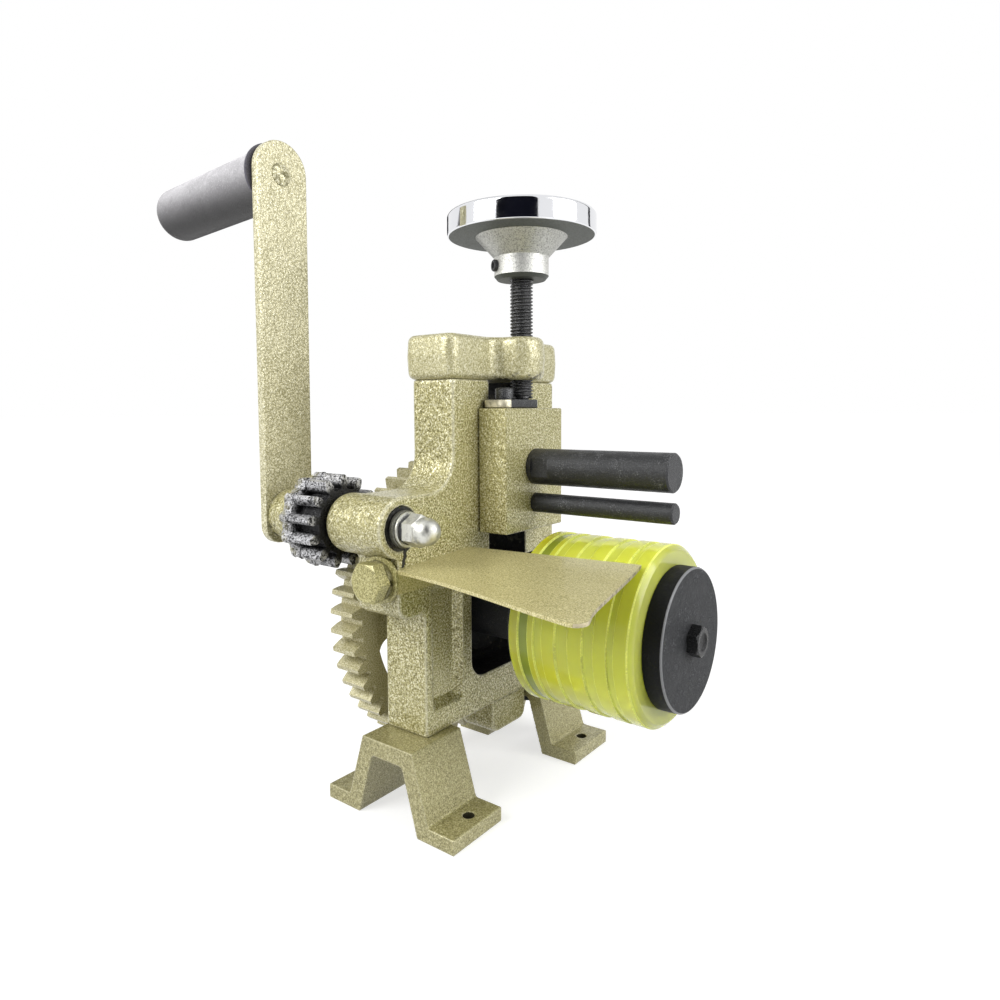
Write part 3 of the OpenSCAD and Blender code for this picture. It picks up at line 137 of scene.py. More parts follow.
class Maker:
    """Models meshes with the operators of the modelling room, one tool per method."""

    @staticmethod
    def mode(kind: str) -> None:
        """Changes to edit or object mode."""
        bpy.ops.object.mode_set(mode=kind)

    @staticmethod
    def choose(action: str) -> None:
        """Selects or deselects the whole mesh."""
        bpy.ops.mesh.select_all(action=action)

    @staticmethod
    def push(way: Sequence[float]) -> None:
        """Extrudes what is selected along a way in metres."""
        bpy.ops.mesh.extrude_region_move(TRANSFORM_OT_translate={"value": way})

    @staticmethod
    def settle() -> None:
        """Puts the active piece's place, turn and size into its mesh."""
        bpy.ops.object.transform_apply(location=True, rotation=True, scale=True)

    @classmethod
    def clear(cls) -> None:
        """Leaves edit mode and deselects everything."""
        if bpy.context.mode != "OBJECT":
            cls.mode("OBJECT")
        bpy.ops.object.select_all(action="DESELECT")

    @classmethod
    def pick(cls, piece: Piece) -> None:
        """Makes one piece the only selected and active one."""
        cls.clear()
        piece.select_set(True)
        bpy.context.view_layer.objects.active = piece

    @classmethod
    def edit(cls, piece: Piece, kind: str = "VERT") -> None:
        """Opens a piece in edit mode with nothing selected."""
        cls.pick(piece)
        cls.mode("EDIT")
        bpy.ops.mesh.select_mode(type=kind)
        cls.choose("DESELECT")

    @classmethod
    def faces(cls, piece: Piece, chosen: Callable[[Vector], bool]) -> None:
        """Opens a piece in edit mode with some faces selected.

        Args:
            piece: the piece.
            chosen: tells from a face's normal whether it is one of them.
        """
        cls.edit(piece, "FACE")
        cls.mode("OBJECT")
        for face in piece.data.polygons:
            face.select = chosen(face.normal)
        cls.mode("EDIT")

    @classmethod
    def close(cls, piece: Piece) -> Piece:
        """Merges doubles, turns the faces outwards and leaves edit mode."""
        cls.choose("SELECT")
        bpy.ops.mesh.remove_doubles(threshold=MERGE)
        bpy.ops.mesh.normals_make_consistent(inside=False)
        cls.mode("OBJECT")
        return piece

    @classmethod
    def draw(cls, name: str, points: Sequence[Vector], fill: bool) -> Piece:
        """Draws an outline by extruding one point from the next.

        Args:
            name: the name of the new piece.
            points: the outline's points, in metres.
            fill: whether the outline is closed with a face.

        Returns:
            The piece, open in edit mode with all of it selected.
        """
        cls.clear()
        bpy.ops.mesh.primitive_plane_add(size=MM, location=points[0])
        piece = bpy.context.active_object
        piece.name = name
        cls.settle()
        cls.mode("EDIT")
        bpy.ops.mesh.select_mode(type="VERT")
        cls.choose("SELECT")
        bpy.ops.mesh.merge(type="CENTER")
        here = Vector(points[0])
        for there in points[1:]:
            cls.push(there - here)
            here = there
        cls.choose("SELECT")
        if fill:
            bpy.ops.mesh.edge_face_add()
        return piece

    @classmethod
    def prism(cls, name: str, outline: Sequence[Point], push: Point) -> Piece:
        """Pushes a filled outline out into a solid.

        Args:
            name: the name of the new piece.
            outline: the outline's points.
            push: the way that the face is extruded.

        Returns:
            The solid.
        """
        piece = cls.draw(name, [spot(*p) for p in outline], True)
        cls.push(Vector(push) * MM)
        return cls.close(piece)

    @classmethod
    def plate(cls, name: str, outline: Sequence[Pair], x0: float, x1: float) -> Piece:
        """Makes a solid from an outline in Y and Z, between two places along X."""
        return cls.prism(name, [(x0, y, z) for y, z in outline], (x1 - x0, 0, 0))

    @classmethod
    def box(cls, name: str, low: Point, high: Point) -> Piece:
        """Adds a cube between two corners."""
        cls.clear()
        middle = (spot(*low) + spot(*high)) / 2
        bpy.ops.mesh.primitive_cube_add(size=1, location=middle)
        piece = bpy.context.active_object
        piece.name = name
        piece.scale = spot(*high) - spot(*low)
        cls.settle()
        return piece

    @classmethod
    def turned(
        cls, name: str, profile: Sequence[Pair], centre: Point, axis: Vector | Axis, steps: int = 96,
    ) -> Piece:
        """Turns a profile on the lathe.

        Args:
            name: the name of the new piece.
            profile: radius and height pairs, from the axis and back to it.
            centre: the place of height zero on the axis.
            axis: the way that the heights grow.
            steps: facets around the axis.

        Returns:
            The turned solid.
        """
        way = Vector(axis.value) if isinstance(axis, Axis) else Vector(axis).normalized()
        aside = way.cross(Vector((0, 1, 0)) if abs(way.y) < 0.9 else Vector((0, 0, 1))).normalized()
        start = spot(*centre)
        points = [start + (way * h + aside * r) * MM for r, h in profile]
        piece = cls.draw(name, points, False)
        bpy.ops.mesh.spin(steps=steps, angle=2 * math.pi, center=start, axis=way, use_auto_merge=True)
        return cls.close(piece)

    @classmethod
    def hexagon(
        cls, name: str, flats: float, height: float, centre: Point, axis: Axis, first: Axis, drop: float
    ) -> Piece:
        """Makes a hexagon whose corners are turned off at its outer end.

        Args:
            name: the name of the new piece.
            flats: the width across the flats.
            height: the height of the hexagon.
            centre: the middle of its lower face.
            axis: the way that it points.
            first: the way from its middle to one corner.
            drop: how far down the corners are turned off.

        Returns:
            The hexagon.
        """
        corner = flats / math.sqrt(3)
        way, u = Vector(axis.value), Vector(first.value)
        v = way.cross(u)
        turns = [math.radians(60 * i) for i in range(6)]
        points = [spot(*centre) + (u * math.cos(a) + v * math.sin(a)) * corner * MM for a in turns]
        piece = cls.draw(name, points, True)
        cls.push(way * height * MM)
        cls.close(piece)
        wide, inner, end = corner + 1, flats / 2 - 0.3, height + 0.001
        rise = drop * (wide - inner) / (corner - inner)
        cone = [(0, -1), (wide, -1), (wide, height - rise), (inner, end), (0, end)]
        cls.carve(piece, cls.turned(name + "_cone", cone, centre, way, 96), "INTERSECT")
        return piece

    @classmethod
    def washer(
        cls, name: str, bore: float, radius: float, thick: float, centre: Point, axis: Axis
    ) -> Piece:
        """Turns a flat ring with broken edges, from its lower face on."""
        b = min(0.3, thick / 4)
        outer = [(radius - b, 0), (radius, b), (radius, thick - b), (radius - b, thick)]
        inner = [(bore + b, thick), (bore, thick - b), (bore, b), (bore + b, 0)]
        return cls.turned(name, [*outer, *inner, outer[0]], centre, axis, 72)

    @classmethod
    def carve(cls, piece: Piece, tool: Piece, way: str = "DIFFERENCE") -> None:
        """Cuts a tool from a piece, or joins or crosses them, and takes the tool away."""
        cls.clear()
        change = piece.modifiers.new("carve", "BOOLEAN")
        change.operation = way
        change.object = tool
        change.solver = "EXACT"
        cls.apply(piece, change)
        bpy.data.objects.remove(tool, do_unlink=True)

    @classmethod
    def apply(cls, piece: Piece, change: bpy.types.Modifier) -> None:
        """Applies one modifier to its piece."""
        cls.pick(piece)
        bpy.ops.object.modifier_apply(modifier=change.name)

    @classmethod
    def join(cls, piece: Piece, *others: Piece) -> None:
        """Puts other pieces into the first one's mesh."""
        cls.clear()
        for other in others:
            other.select_set(True)
        piece.select_set(True)
        bpy.context.view_layer.objects.active = piece
        bpy.ops.object.join()

    @classmethod
    def rod(
        cls, name: str, radius: float, low: float, high: float, centre: Point, axis: Axis, steps: int
    ) -> Piece:
        """Turns a plain rod between two heights on its axis."""
        profile = [(0, low), (radius, low), (radius, high), (0, high)]
        return cls.turned(name, profile, centre, axis, steps)

    @classmethod
    def drill(cls, piece: Piece, radius: float, start: Point, axis: Axis, depth: float) -> None:
        """Drills a round hole from a place along an axis."""
        cls.carve(piece, cls.rod("drill", radius, 0, depth, start, axis, 48))

    @classmethod
    def soften(
        cls, piece: Piece, width: float, steps: int = 3, angle: float = 32, clamp: bool = True
    ) -> None:
        """Rounds every edge that is sharper than an angle.

        Args:
            piece: the piece.
            width: the width of the rounding.
            steps: its facets.
            angle: the smallest angle that is rounded, in degrees.
            clamp: whether short edges limit the rounding.
        """
        change = piece.modifiers.new("soften", "BEVEL")
        change.width = width * MM
        change.segments = steps
        change.limit_method = "ANGLE"
        change.angle_limit = math.radians(angle)
        change.use_clamp_overlap = clamp
        change.miter_outer = "MITER_ARC"
        cls.apply(piece, change)

    @classmethod
    def cast(cls, piece: Piece, grain: float, rounds: int) -> None:
        """Gives a piece the even skin of a casting, with all its edges and corners soft.

        Args:
            piece: the closed solid.
            grain: the size of the skin's faces.
            rounds: how often the skin is smoothed.
        """
        skin = piece.modifiers.new("skin", "REMESH")
        skin.mode = "VOXEL"
        skin.voxel_size = grain * MM
        skin.adaptivity = 0
        cls.apply(piece, skin)
        relax = piece.modifiers.new("relax", "SMOOTH")
        relax.factor = 0.5
        relax.iterations = rounds
        cls.apply(piece, relax)

    @classmethod
    def copy_of(cls, name: str, node: str) -> Piece:
        """Copies a CAD node and merges its loose triangles."""
        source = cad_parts[node]
        piece = bpy.data.objects.new(name, source.data.copy())
        piece.data.materials.clear()
        bpy.context.scene.collection.objects.link(piece)
        cls.edit(piece)
        cls.choose("SELECT")
        bpy.ops.mesh.remove_doubles(threshold=MERGE)
        bpy.ops.mesh.dissolve_limited(angle_limit=math.radians(0.6))
        cls.mode("OBJECT")
        return piece

    @classmethod
    def shade(cls, piece: Piece, angle: float = 32) -> None:
        """Shades a piece smooth, apart from edges sharper than an angle."""
        cls.pick(piece)
        bpy.ops.object.shade_smooth_by_angle(angle=math.radians(angle))
        if angle < 60:
            even = piece.modifiers.new("even", "WEIGHTED_NORMAL")
            even.keep_sharp = True
            cls.apply(piece, even)
        cls.clear()


make = Maker


# Finishes


class Shader:
    """A material under construction: its nodes, and short ways to add and link them."""

    def __init__(self, name: str) -> None:
        """Starts a material with one Principled shader and Object coordinates."""
        self.material = bpy.data.materials.new(name)
        self.material.use_nodes = True
        self.tree = self.material.node_tree
        self.surface = self.tree.nodes["Principled BSDF"]
        self.place = self.tree.nodes.new("ShaderNodeTexCoord").outputs["Object"]

    def feed(self, socket: Socket, value: object) -> None:
        """Links a socket, or sets its value."""
        if isinstance(value, Socket):
            self.tree.links.new(value, socket)
        elif isinstance(value, tuple) and socket.type == "RGBA":
            socket.default_value = (*value, 1.0)
        else:
            socket.default_value = value

    def set(self, **values: object) -> None:
        """Sets or links inputs of the Principled shader by their names."""
        for name, value in values.items():
            self.feed(self.surface.inputs[name.replace("_", " ")], value)

    def add(self, kind: str, **inputs: object) -> bpy.types.Node:
        """Adds a node, and feeds its inputs by their names."""
        node = self.tree.nodes.new("ShaderNode" + kind)
        for name, value in inputs.items():
            self.feed(node.inputs[name.replace("_", " ")], value)
        return node

    def noise(self, scale: float, detail: float = 2, rough: float = 0.5) -> Socket:
        """Adds a noise with a number of lumps per metre."""
        node = self.add("TexNoise", Vector=self.place, Scale=scale, Detail=detail, Roughness=rough)
        return node.outputs["Fac"]

    def cells(self, scale: float) -> Socket:
        """Adds soft round cells with a number of cells per metre."""
        node = self.add("TexVoronoi", Vector=self.place, Scale=scale)
        node.feature = "SMOOTH_F1"
        return node.outputs["Distance"]

    def math(self, kind: str, *values: object) -> Socket:
        """Adds a math node."""
        node = self.add("Math")
        node.operation = kind
        for socket, value in zip(node.inputs, values):
            self.feed(socket, value)
        return node.outputs[0]

    def times(self, first: object, second: object) -> Socket:
        """Multiplies two values."""
        return self.math("MULTIPLY", first, second)

    def plus(self, first: object, second: object) -> Socket:
        """Adds two values."""
        return self.math("ADD", first, second)

    def ramp(self, value: object, low: float, high: float, start: float = 0, end: float = 1) -> Socket:
        """Maps a range smoothly to another."""
        node = self.add("MapRange", Value=value, From_Min=low, From_Max=high, To_Min=start, To_Max=end)
        node.interpolation_type = "SMOOTHSTEP"
        return node.outputs["Result"]

    def mix(self, share: object, first: object, second: object) -> Socket:
        """Mixes two colours, whose sockets are the seventh and the eighth of the node."""
        node = self.add("Mix")
        node.data_type = "RGBA"
        for index, value in ((0, share), (6, first), (7, second)):
            self.feed(node.inputs[index], value)
        return node.outputs[2]

    def bump(self, height: object, depth: float) -> Socket:
        """Turns a height into a bump of some millimetres."""
        return self.add("Bump", Strength=1.0, Distance=depth * MM, Height=height).outputs["Normal"]

    def parts(self) -> tuple[Socket, ...]:
        """Splits the place on the piece into X, Y and Z."""
        return tuple(self.add("SeparateXYZ", Vector=self.place).outputs)

    def facing(self) -> Socket:
        """How much a surface faces along X, from its own normal."""
        node = self.add("SeparateXYZ", Vector=self.add("TexCoord").outputs["Normal"])
        return self.math("ABSOLUTE", node.outputs[0])

    def inside(self, low: Point, high: Point, soft: float = 0.25) -> Socket:
        """How far a place lies inside a box of machine millimetres: 1 inside, 0 outside."""
        share: object = 1.0
        for part, start, end in zip(self.parts(), spot(*low), spot(*high)):
            away = self.math("ABSOLUTE", self.math("SUBTRACT", part, (start + end) / 2))
            near, far = (end - start) / 2 - soft * MM, (end - start) / 2 + soft * MM
            share = self.times(share, self.ramp(away, near, far, 1.0, 0.0))
        return share

    def edges(self) -> Socket:
        """How far a place stands out on an edge, above 0.5, or lies in a corner, below it."""
        return self.add("NewGeometry").outputs["Pointiness"]

    def reach(self, centre: Vector, plane: tuple[int, int]) -> Socket:
        """The distance from an axis, in metres, from two of the three coordinates."""
        parts = self.parts()
        squares = []
        for part in plane:
            away = self.math("ABSOLUTE", self.math("SUBTRACT", parts[part], centre[part]))
            squares.append(self.math("POWER", away, 2.0))
        return self.math("SQRT", self.plus(*squares))


@dataclass(frozen=True)
class Hammertone:
    """Gold-olive stoving enamel with metal flakes and pebbles, over a rough or a machined casting.

    Flakes and pebbles are counted per metre. The two lump values are the skin's height on rough and on
    machined faces, the outline darkens the pebbles' shores, and the edge value paints a highlight along
    convex edges and shade into corners.
    Blackened places, which stand for grease on sliding faces and for painted shade deep in recesses, and
    smudged places are boxes between two corners.
    """

    name: str = "hammertone"
    light: Colour = srgb("ECE8C8")
    middle: Colour = srgb("B0A974")
    dark: Colour = srgb("635D2C")
    flake: float = 1200
    pebble: float = 560
    lump: float = 0.5
    face_lump: float = 0.1
    contrast: float = 1.0
    outline: float = 0.3
    edge_light_and_crease_shade: float = 0.0
    grease_and_shade: tuple[tuple[Point, Point], ...] = ()
    smudged: tuple[tuple[Point, Point], ...] = ()

    def build(self) -> bpy.types.Material:
        """Builds the enamel's material."""
        s = Shader(self.name)
        flakes = s.noise(self.flake, 3, 0.65)
        cloud = s.noise(30, 3, 0.55)
        rough = s.noise(150, 2, 0.5)
        pebbles = s.cells(self.pebble)
        flat = s.ramp(s.facing(), 0.85, 0.97)
        depth = s.ramp(flat, 0.0, 1.0, self.lump, self.face_lump)
        tone = s.mix(s.ramp(flakes, 0.38, 0.48, 1 - self.contrast, 1.0), self.dark, self.middle)
        tone = s.mix(s.ramp(flakes, 0.52, 0.61, 0.0, self.contrast), tone, self.light)
        shore = s.times(s.ramp(pebbles, 0.4, 0.5), s.ramp(pebbles, 0.54, 0.64, 1.0, 0.0))
        share = self.outline * min(self.face_lump * 4, 1.0)
        edge = s.times(shore, s.ramp(flat, 0.0, 1.0, self.outline, share))
        tone = s.mix(edge, tone, self.dark)
        tone = s.mix(s.ramp(cloud, 0.4, 0.7, 0.0, 0.22), tone, self.middle)
        # Painted highlight: convex edges turn pale F4F1DA. Painted shade: corners and creases turn dark
        # 4A4524.
        if self.edge_light_and_crease_shade:
            tone = s.mix(s.ramp(s.edges(), 0.51, 0.55, 0.0, self.edge_light_and_crease_shade), tone, srgb("F4F1DA"))
            tone = s.mix(s.ramp(s.edges(), 0.44, 0.49, self.edge_light_and_crease_shade, 0.0), tone, srgb("4A4524"))
        tone, black_share = self.blacken_and_smudge(s, tone)
        hills = s.plus(s.times(pebbles, -0.8), s.times(rough, 1.6))
        height = s.plus(s.times(hills, depth), s.times(flakes, 0.12))
        s.set(
            Base_Color=tone, Metallic=0.25,
            Roughness=s.plus(s.ramp(flakes, 0.3, 0.7, 0.44, 0.28), s.times(black_share, 0.5)),
            Coat_Weight=s.ramp(black_share, 0.0, 1.0, 0.3, 0.0), Coat_Roughness=0.16,
            Normal=s.bump(height, 1.0),
        )
        return s.material

    def blacken_and_smudge(self, s: Shader, tone: Socket) -> tuple[Socket, object]:
        """Blackens the boxed places, as grease and painted shade, and smudges some others.

        Args:
            s: the material under construction.
            tone: the clean enamel's colour.

        Returns:
            The colour with its black and its smudges, and the share that is blackened.
        """
        smear = s.noise(170, 4, 0.65)
        black_share: object = 0.0
        # Near black 050505 in each box: grease on sliding faces, and painted shade deep in the slot and the
        # pocket.
        for low, high in self.grease_and_shade:
            share = s.times(s.inside(low, high), s.ramp(smear, 0.56, 0.8, 1.0, 0.86))
            tone = s.mix(share, tone, srgb("050505"))
            black_share = s.math("MAXIMUM", black_share, share)
        for low, high in self.smudged:
            share = s.times(s.inside(low, high, 2.0), s.ramp(smear, 0.5, 0.58, 0.0, 0.85))
            tone = s.mix(share, tone, srgb("2E2A20"))
        return tone, black_share


@dataclass(frozen=True)
class BlackSteel:
    """Blackened steel, mottled, with a fine grain and a few rubbed places.

    The gloss is the lowest roughness, wear the share of rubbed steel, shine the level of its
    reflections and grain the depth of its skin.
    """

    name: str = "black_oxide"
    base: Colour = srgb("28292B")
    wear_and_highlight: Colour = srgb("858688")
    gloss: float = 0.34
    wear: float = 0.6
    shine: float = 0.5
    grain: float = 0.3

    def build(self) -> bpy.types.Material:
        """Builds the blackened finish."""
        s = Shader(self.name)
        grain = s.noise(1700, 3, 0.65)
        cloud = s.noise(140, 4, 0.65)
        share = s.times(s.ramp(cloud, 0.48, 0.66, 0.2, 1.0), s.ramp(grain, 0.5, 0.64, 0.0, self.wear))
        tone = s.mix(share, self.base, self.wear_and_highlight)
        s.set(
            Base_Color=tone, Metallic=0.3, Specular_IOR_Level=self.shine,
            Roughness=s.ramp(cloud, 0.3, 0.7, self.gloss, self.gloss + 0.16),
            Normal=s.bump(s.plus(grain, cloud), self.grain),
        )
        return s.material


@dataclass(frozen=True)
class TurnedSteel:
    """Bright steel with fine rings from the lathe around one axis.

    The axis passes through the centre, across the plane of two of the three coordinates. Rings
    are counted per metre, and sparkle is the share of dark grain.
    """

    name: str
    centre: Point
    plane: tuple[int, int]
    base: Colour = srgb("C9C9C6")
    rough: float = 0.3
    rings: float = 2600
    ring_depth: float = 0.03
    sparkle: float = 0.35
    metal: float = 0.85

    def build(self) -> bpy.types.Material:
        """Builds the turned finish."""
        s = Shader(self.name)
        reach = s.reach(spot(*self.centre), self.plane)
        line = s.add("TexNoise", Scale=self.rings, Detail=2)
        line.noise_dimensions = "1D"
        s.feed(line.inputs["W"], reach)
        grain = s.noise(1500, 3, 0.65)
        tone = s.mix(s.ramp(grain, 0.42, 0.68, 0.0, self.sparkle), self.base, scaled(self.base, 0.3))
        height = s.plus(line.outputs["Fac"], s.times(grain, 1.2))
        s.set(
            Base_Color=tone, Metallic=self.metal,
            Roughness=s.ramp(grain, 0.3, 0.7, self.rough, self.rough + 0.14),
            Normal=s.bump(height, self.ring_depth),
        )
        return s.material


@dataclass(frozen=True)
class PlainMetal:
    """A metal with an even grain: zinc plate, bronze or a polished rim."""

    name: str
    base: Colour
    rough: float
    grain: float = 0.02
    mottle: float = 0.3

    def build(self) -> bpy.types.Material:
        """Builds the metal."""
        s = Shader(self.name)
        fine = s.noise(1300, 3, 0.6)
        cloud = s.noise(330, 4, 0.6)
        tone = s.mix(s.ramp(cloud, 0.42, 0.68, 0.0, self.mottle), self.base, scaled(self.base, 0.4))
        s.set(
            Base_Color=tone, Metallic=1.0,
            Roughness=s.ramp(cloud, 0.3, 0.7, self.rough, self.rough * 1.6 + 0.02),
            Normal=s.bump(s.plus(fine, cloud), self.grain),
        )
        return s.material


@dataclass(frozen=True)
class Polyurethane:
    """Clear yellow-green polyurethane, through which the core shows."""

    name: str = "polyurethane"
    land: Colour = srgb("F8FF5E")
    groove: Colour = srgb("F0FA74")
    rear: Colour = srgb("F9EE2C")
    front: Colour = srgb("EEF382")
    deep: Colour = srgb("8CA43C")
    surface: float = 42.4

    def build(self) -> bpy.types.Material:
        """Builds the polyurethane."""
        s = Shader(self.name)
        reach = s.reach(spot(0, 0, SHAFT_Z), (1, 2))
        cloud = s.noise(26, 3, 0.5)
        fine = s.noise(900, 3, 0.6)
        x = s.parts()[0]
        low = s.ramp(reach, (self.surface - 0.7) * MM, (self.surface - 0.2) * MM, 1.0, 0.0)
        back = s.ramp(x, along(30), along(70), 0.8, 0.1)
        face = s.ramp(x, along(92.2), along(93.4), 0.0, 1.0)
        band = s.ramp(x, along(40.0), along(41.4), 0.75, 0.0)
        band = s.times(s.ramp(x, along(35.1), along(36.2)), band)
        tone = s.mix(s.times(low, 0.6), self.land, self.groove)
        tone = s.mix(s.times(s.ramp(cloud, 0.4, 0.6), back), tone, self.rear)
        tone = s.mix(face, tone, self.front)
        tone = s.mix(band, tone, self.deep)
        s.set(
            Base_Color=tone, Roughness=s.ramp(fine, 0.3, 0.7, 0.1, 0.2), IOR=1.42,
            Transmission_Weight=0.5, Subsurface_Weight=0.5, Subsurface_Radius=(0.02, 0.02, 0.006),
            Subsurface_Scale=0.5, Normal=s.bump(s.noise(170, 2, 0.5), 0.12),
        )
        return s.material


@dataclass(frozen=True)
class Moulded:
    """Satin moulded plastic, with painted shade that darkens it towards the lower side of its axis."""

    name: str
    base: Colour
    rough: float = 0.42
    grain: float = 0.08
    axis_z: float = 0.0
    reach: float = 0.0

    def build(self) -> bpy.types.Material:
        """Builds the plastic."""
        s = Shader(self.name)
        fine = s.noise(1300, 3, 0.6)
        cloud = s.noise(90, 4, 0.6)
        tone = s.mix(s.ramp(cloud, 0.42, 0.62, 0.0, 0.6), self.base, scaled(self.base, 0.6))
        tone = s.mix(s.ramp(fine, 0.5, 0.64, 0.0, 0.4), tone, scaled(self.base, 1.6))
        if self.reach:
            # Painted shade: the colour darkens to near black towards the lower side of the axis.
            height = s.plus(s.parts()[2], s.times(cloud, 6 * MM))
            low, high = self.axis_z - self.reach, self.axis_z + self.reach
            painted_shade = s.ramp(height, (low + 3) * MM, (high + 2) * MM, 1.0, 0.0)
            tone = s.mix(painted_shade, tone, scaled(self.base, 0.08))
        rough = s.ramp(fine, 0.3, 0.7, self.rough, self.rough + 0.12)
        s.set(Base_Color=tone, Roughness=rough, Specular_IOR_Level=0.25, Normal=s.bump(fine, self.grain))
        return s.material


@dataclass(frozen=True)
class GreasedTeeth:
    """A steel pinion, rough with black grease, with gold overspray towards its rear."""

    name: str = "greased_steel"
    steel: Colour = srgb("C4C4C6")
    grease: Colour = srgb("101012")
    spray: Colour = srgb("B4AE84")
    centre: Point = (0.0, PINION_Y, PINION_Z)

    def build(self) -> bpy.types.Material:
        """Builds the greased finish."""
        s = Shader(self.name)
        reach = s.reach(spot(*self.centre), (1, 2))
        smear = s.noise(300, 5, 0.7)
        fine = s.noise(1000, 3, 0.65)
        uneven = s.plus(reach, s.times(smear, 4 * MM))
        deep = s.ramp(uneven, 18.6 * MM, 22.2 * MM, 1.0, 0.0)
        x = s.parts()[0]
        back = s.ramp(x, along(-64), along(-52), 0.9, 0.0)
        gold = s.times(s.ramp(smear, 0.42, 0.56), back)
        tone = s.mix(s.ramp(fine, 0.4, 0.54), self.grease, self.steel)
        tone = s.mix(s.ramp(smear, 0.52, 0.6), tone, self.grease)
        tone = s.mix(gold, tone, self.spray)
        tone = s.mix(deep, tone, self.grease)
        s.set(
            Base_Color=tone, Metallic=0.35, Roughness=s.ramp(smear, 0.35, 0.65, 0.2, 0.45),
            Normal=s.bump(s.plus(smear, s.times(fine, 0.4)), 0.9),
        )
        return s.material


@dataclass(frozen=True)
class Grease:
    """Thick black grease with a wet shine."""

    name: str = "grease"
    base: Colour = srgb("0E0D0C")

    def build(self) -> bpy.types.Material:
        """Builds the grease."""
        s = Shader(self.name)
        lumps = s.noise(600, 3, 0.6)
        tone = s.mix(s.ramp(lumps, 0.5, 0.7, 0.0, 0.6), self.base, srgb("35322A"))
        s.set(Base_Color=tone, Roughness=0.3, Normal=s.bump(lumps, 0.4))
        return s.material


class Slot(Enum):
    """The record's material slots, each with its finish."""

    hammertone = Hammertone()
    bronze = PlainMetal("bronze", srgb("B08A52"), rough=0.35, grain=0.03)
    black_oxide = BlackSteel()
    black_roller = BlackSteel(
        "black_roller", srgb("303133"), srgb("6A6B6D"), gloss=0.5, wear=0.55, shine=0.3
    )
    polished_steel = PlainMetal("polished_steel", srgb("E6E7EA"), rough=0.05, grain=0.0, mottle=0.0)
    bright_steel = PlainMetal("bright_steel", srgb("B9B8B4"), rough=0.3, grain=0.05)
    greased_steel = GreasedTeeth()
    zinc_plate = PlainMetal("zinc_plate", srgb("CDCDC6"), rough=0.34, grain=0.07, mottle=0.6)
    polyurethane = Polyurethane()
    grip_plastic = Moulded("grip_plastic", srgb("CBC9CC"), rough=0.38, grain=0.25, axis_z=309.5, reach=13.0)
    grip_ring = Moulded("grip_ring", srgb("5C5A63"), rough=0.4)


BOLT = Hammertone(
    "hammertone_bolt", srgb("D2CC98"), srgb("A39C60"), srgb("5A5629"), flake=1500, pebble=900,
    lump=0.05, face_lump=0.05, contrast=0.85, outline=0.0,
)
SHADED = Hammertone(
    "hammertone_shaded", srgb("9C966A"), srgb("6F6A40"), srgb("38351C"), flake=1800, pebble=900,
    lump=0.05, face_lump=0.05, contrast=0.8,
)
FINE = Hammertone(
    "hammertone_fine", srgb("DDD8A8"), srgb("ADA66C"), srgb("5F5A2B"), flake=1800, pebble=900,
    lump=0.08, face_lump=0.08, contrast=0.9,
)
SHEET = Hammertone(
    "hammertone_sheet", srgb("F2ECC0"), srgb("C6BC82"), flake=1600, pebble=800, lump=0.05,
    face_lump=0.05, contrast=0.6, outline=0.0,
)


class Paint:
    """Keeps one material per finish and dresses pieces with them."""

    made: dict[str, bpy.types.Material] = {}

    @classmethod
    def of(cls, finish: object) -> bpy.types.Material:
        """Returns the material of a finish, built once."""
        if finish.name not in cls.made:
            cls.made[finish.name] = finish.build()
        return cls.made[finish.name]

    @classmethod
    def node(cls, name: str, finish: object) -> None:
        """Gives a carried CAD node a material in its own slots."""
        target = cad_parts[name]
        target.data.materials.clear()
        target.data.materials.append(cls.of(finish))

    @classmethod
    def part(cls, piece: Piece, finish: object, chosen: Callable[[Vector, Vector], bool]) -> None:
        """Gives some faces of a piece another finish.

        Args:
            piece: the piece, with its first finish already on it.
            finish: the other finish.
            chosen: tells from a face's centre and normal whether it is one of them.
        """
        piece.data.materials.append(cls.of(finish))
        index = len(piece.data.materials) - 1
        for face in piece.data.polygons:
            if chosen(face.center, face.normal):
                face.material_index = index


@dataclass
class Assembly:
    """A group of pieces that ride on one body."""

    body: str = "frame"

    def add(
        self, piece: Piece, slot: Slot, nodes: Sequence[str], body: str = "", finish: object = None,
        smooth: float = 32,
    ) -> Piece:
        """Dresses a piece and puts it on its body, in the place of CAD nodes.

        Args:
            piece: the finished mesh.
            slot: the record's slot that it takes its finish from.
            nodes: the CAD nodes that it stands for.
            body: the body that it rides on, where it isn't the assembly's own.
            finish: a finish other than the slot's.
            smooth: the angle up to which edges are shaded smooth.

        Returns:
            The piece.
        """
        make.shade(piece, smooth)
        piece.data.materials.clear()
        piece.data.materials.append(Paint.of(finish or slot.value))
        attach(piece, body or self.body)
        if nodes:
            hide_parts(*nodes)
        log.info("%s: %d faces", piece.name, len(piece.data.polygons))
        return piece

    def softened(self, name: str, node: str, slot: Slot, width: float, finish: object = None) -> Piece:
        """Adds a copy of a CAD node with its edges broken."""
        piece = make.copy_of(name, node)
        make.soften(piece, width, 2, 28)
        return self.add(piece, slot, [node], finish=finish)


# The machine


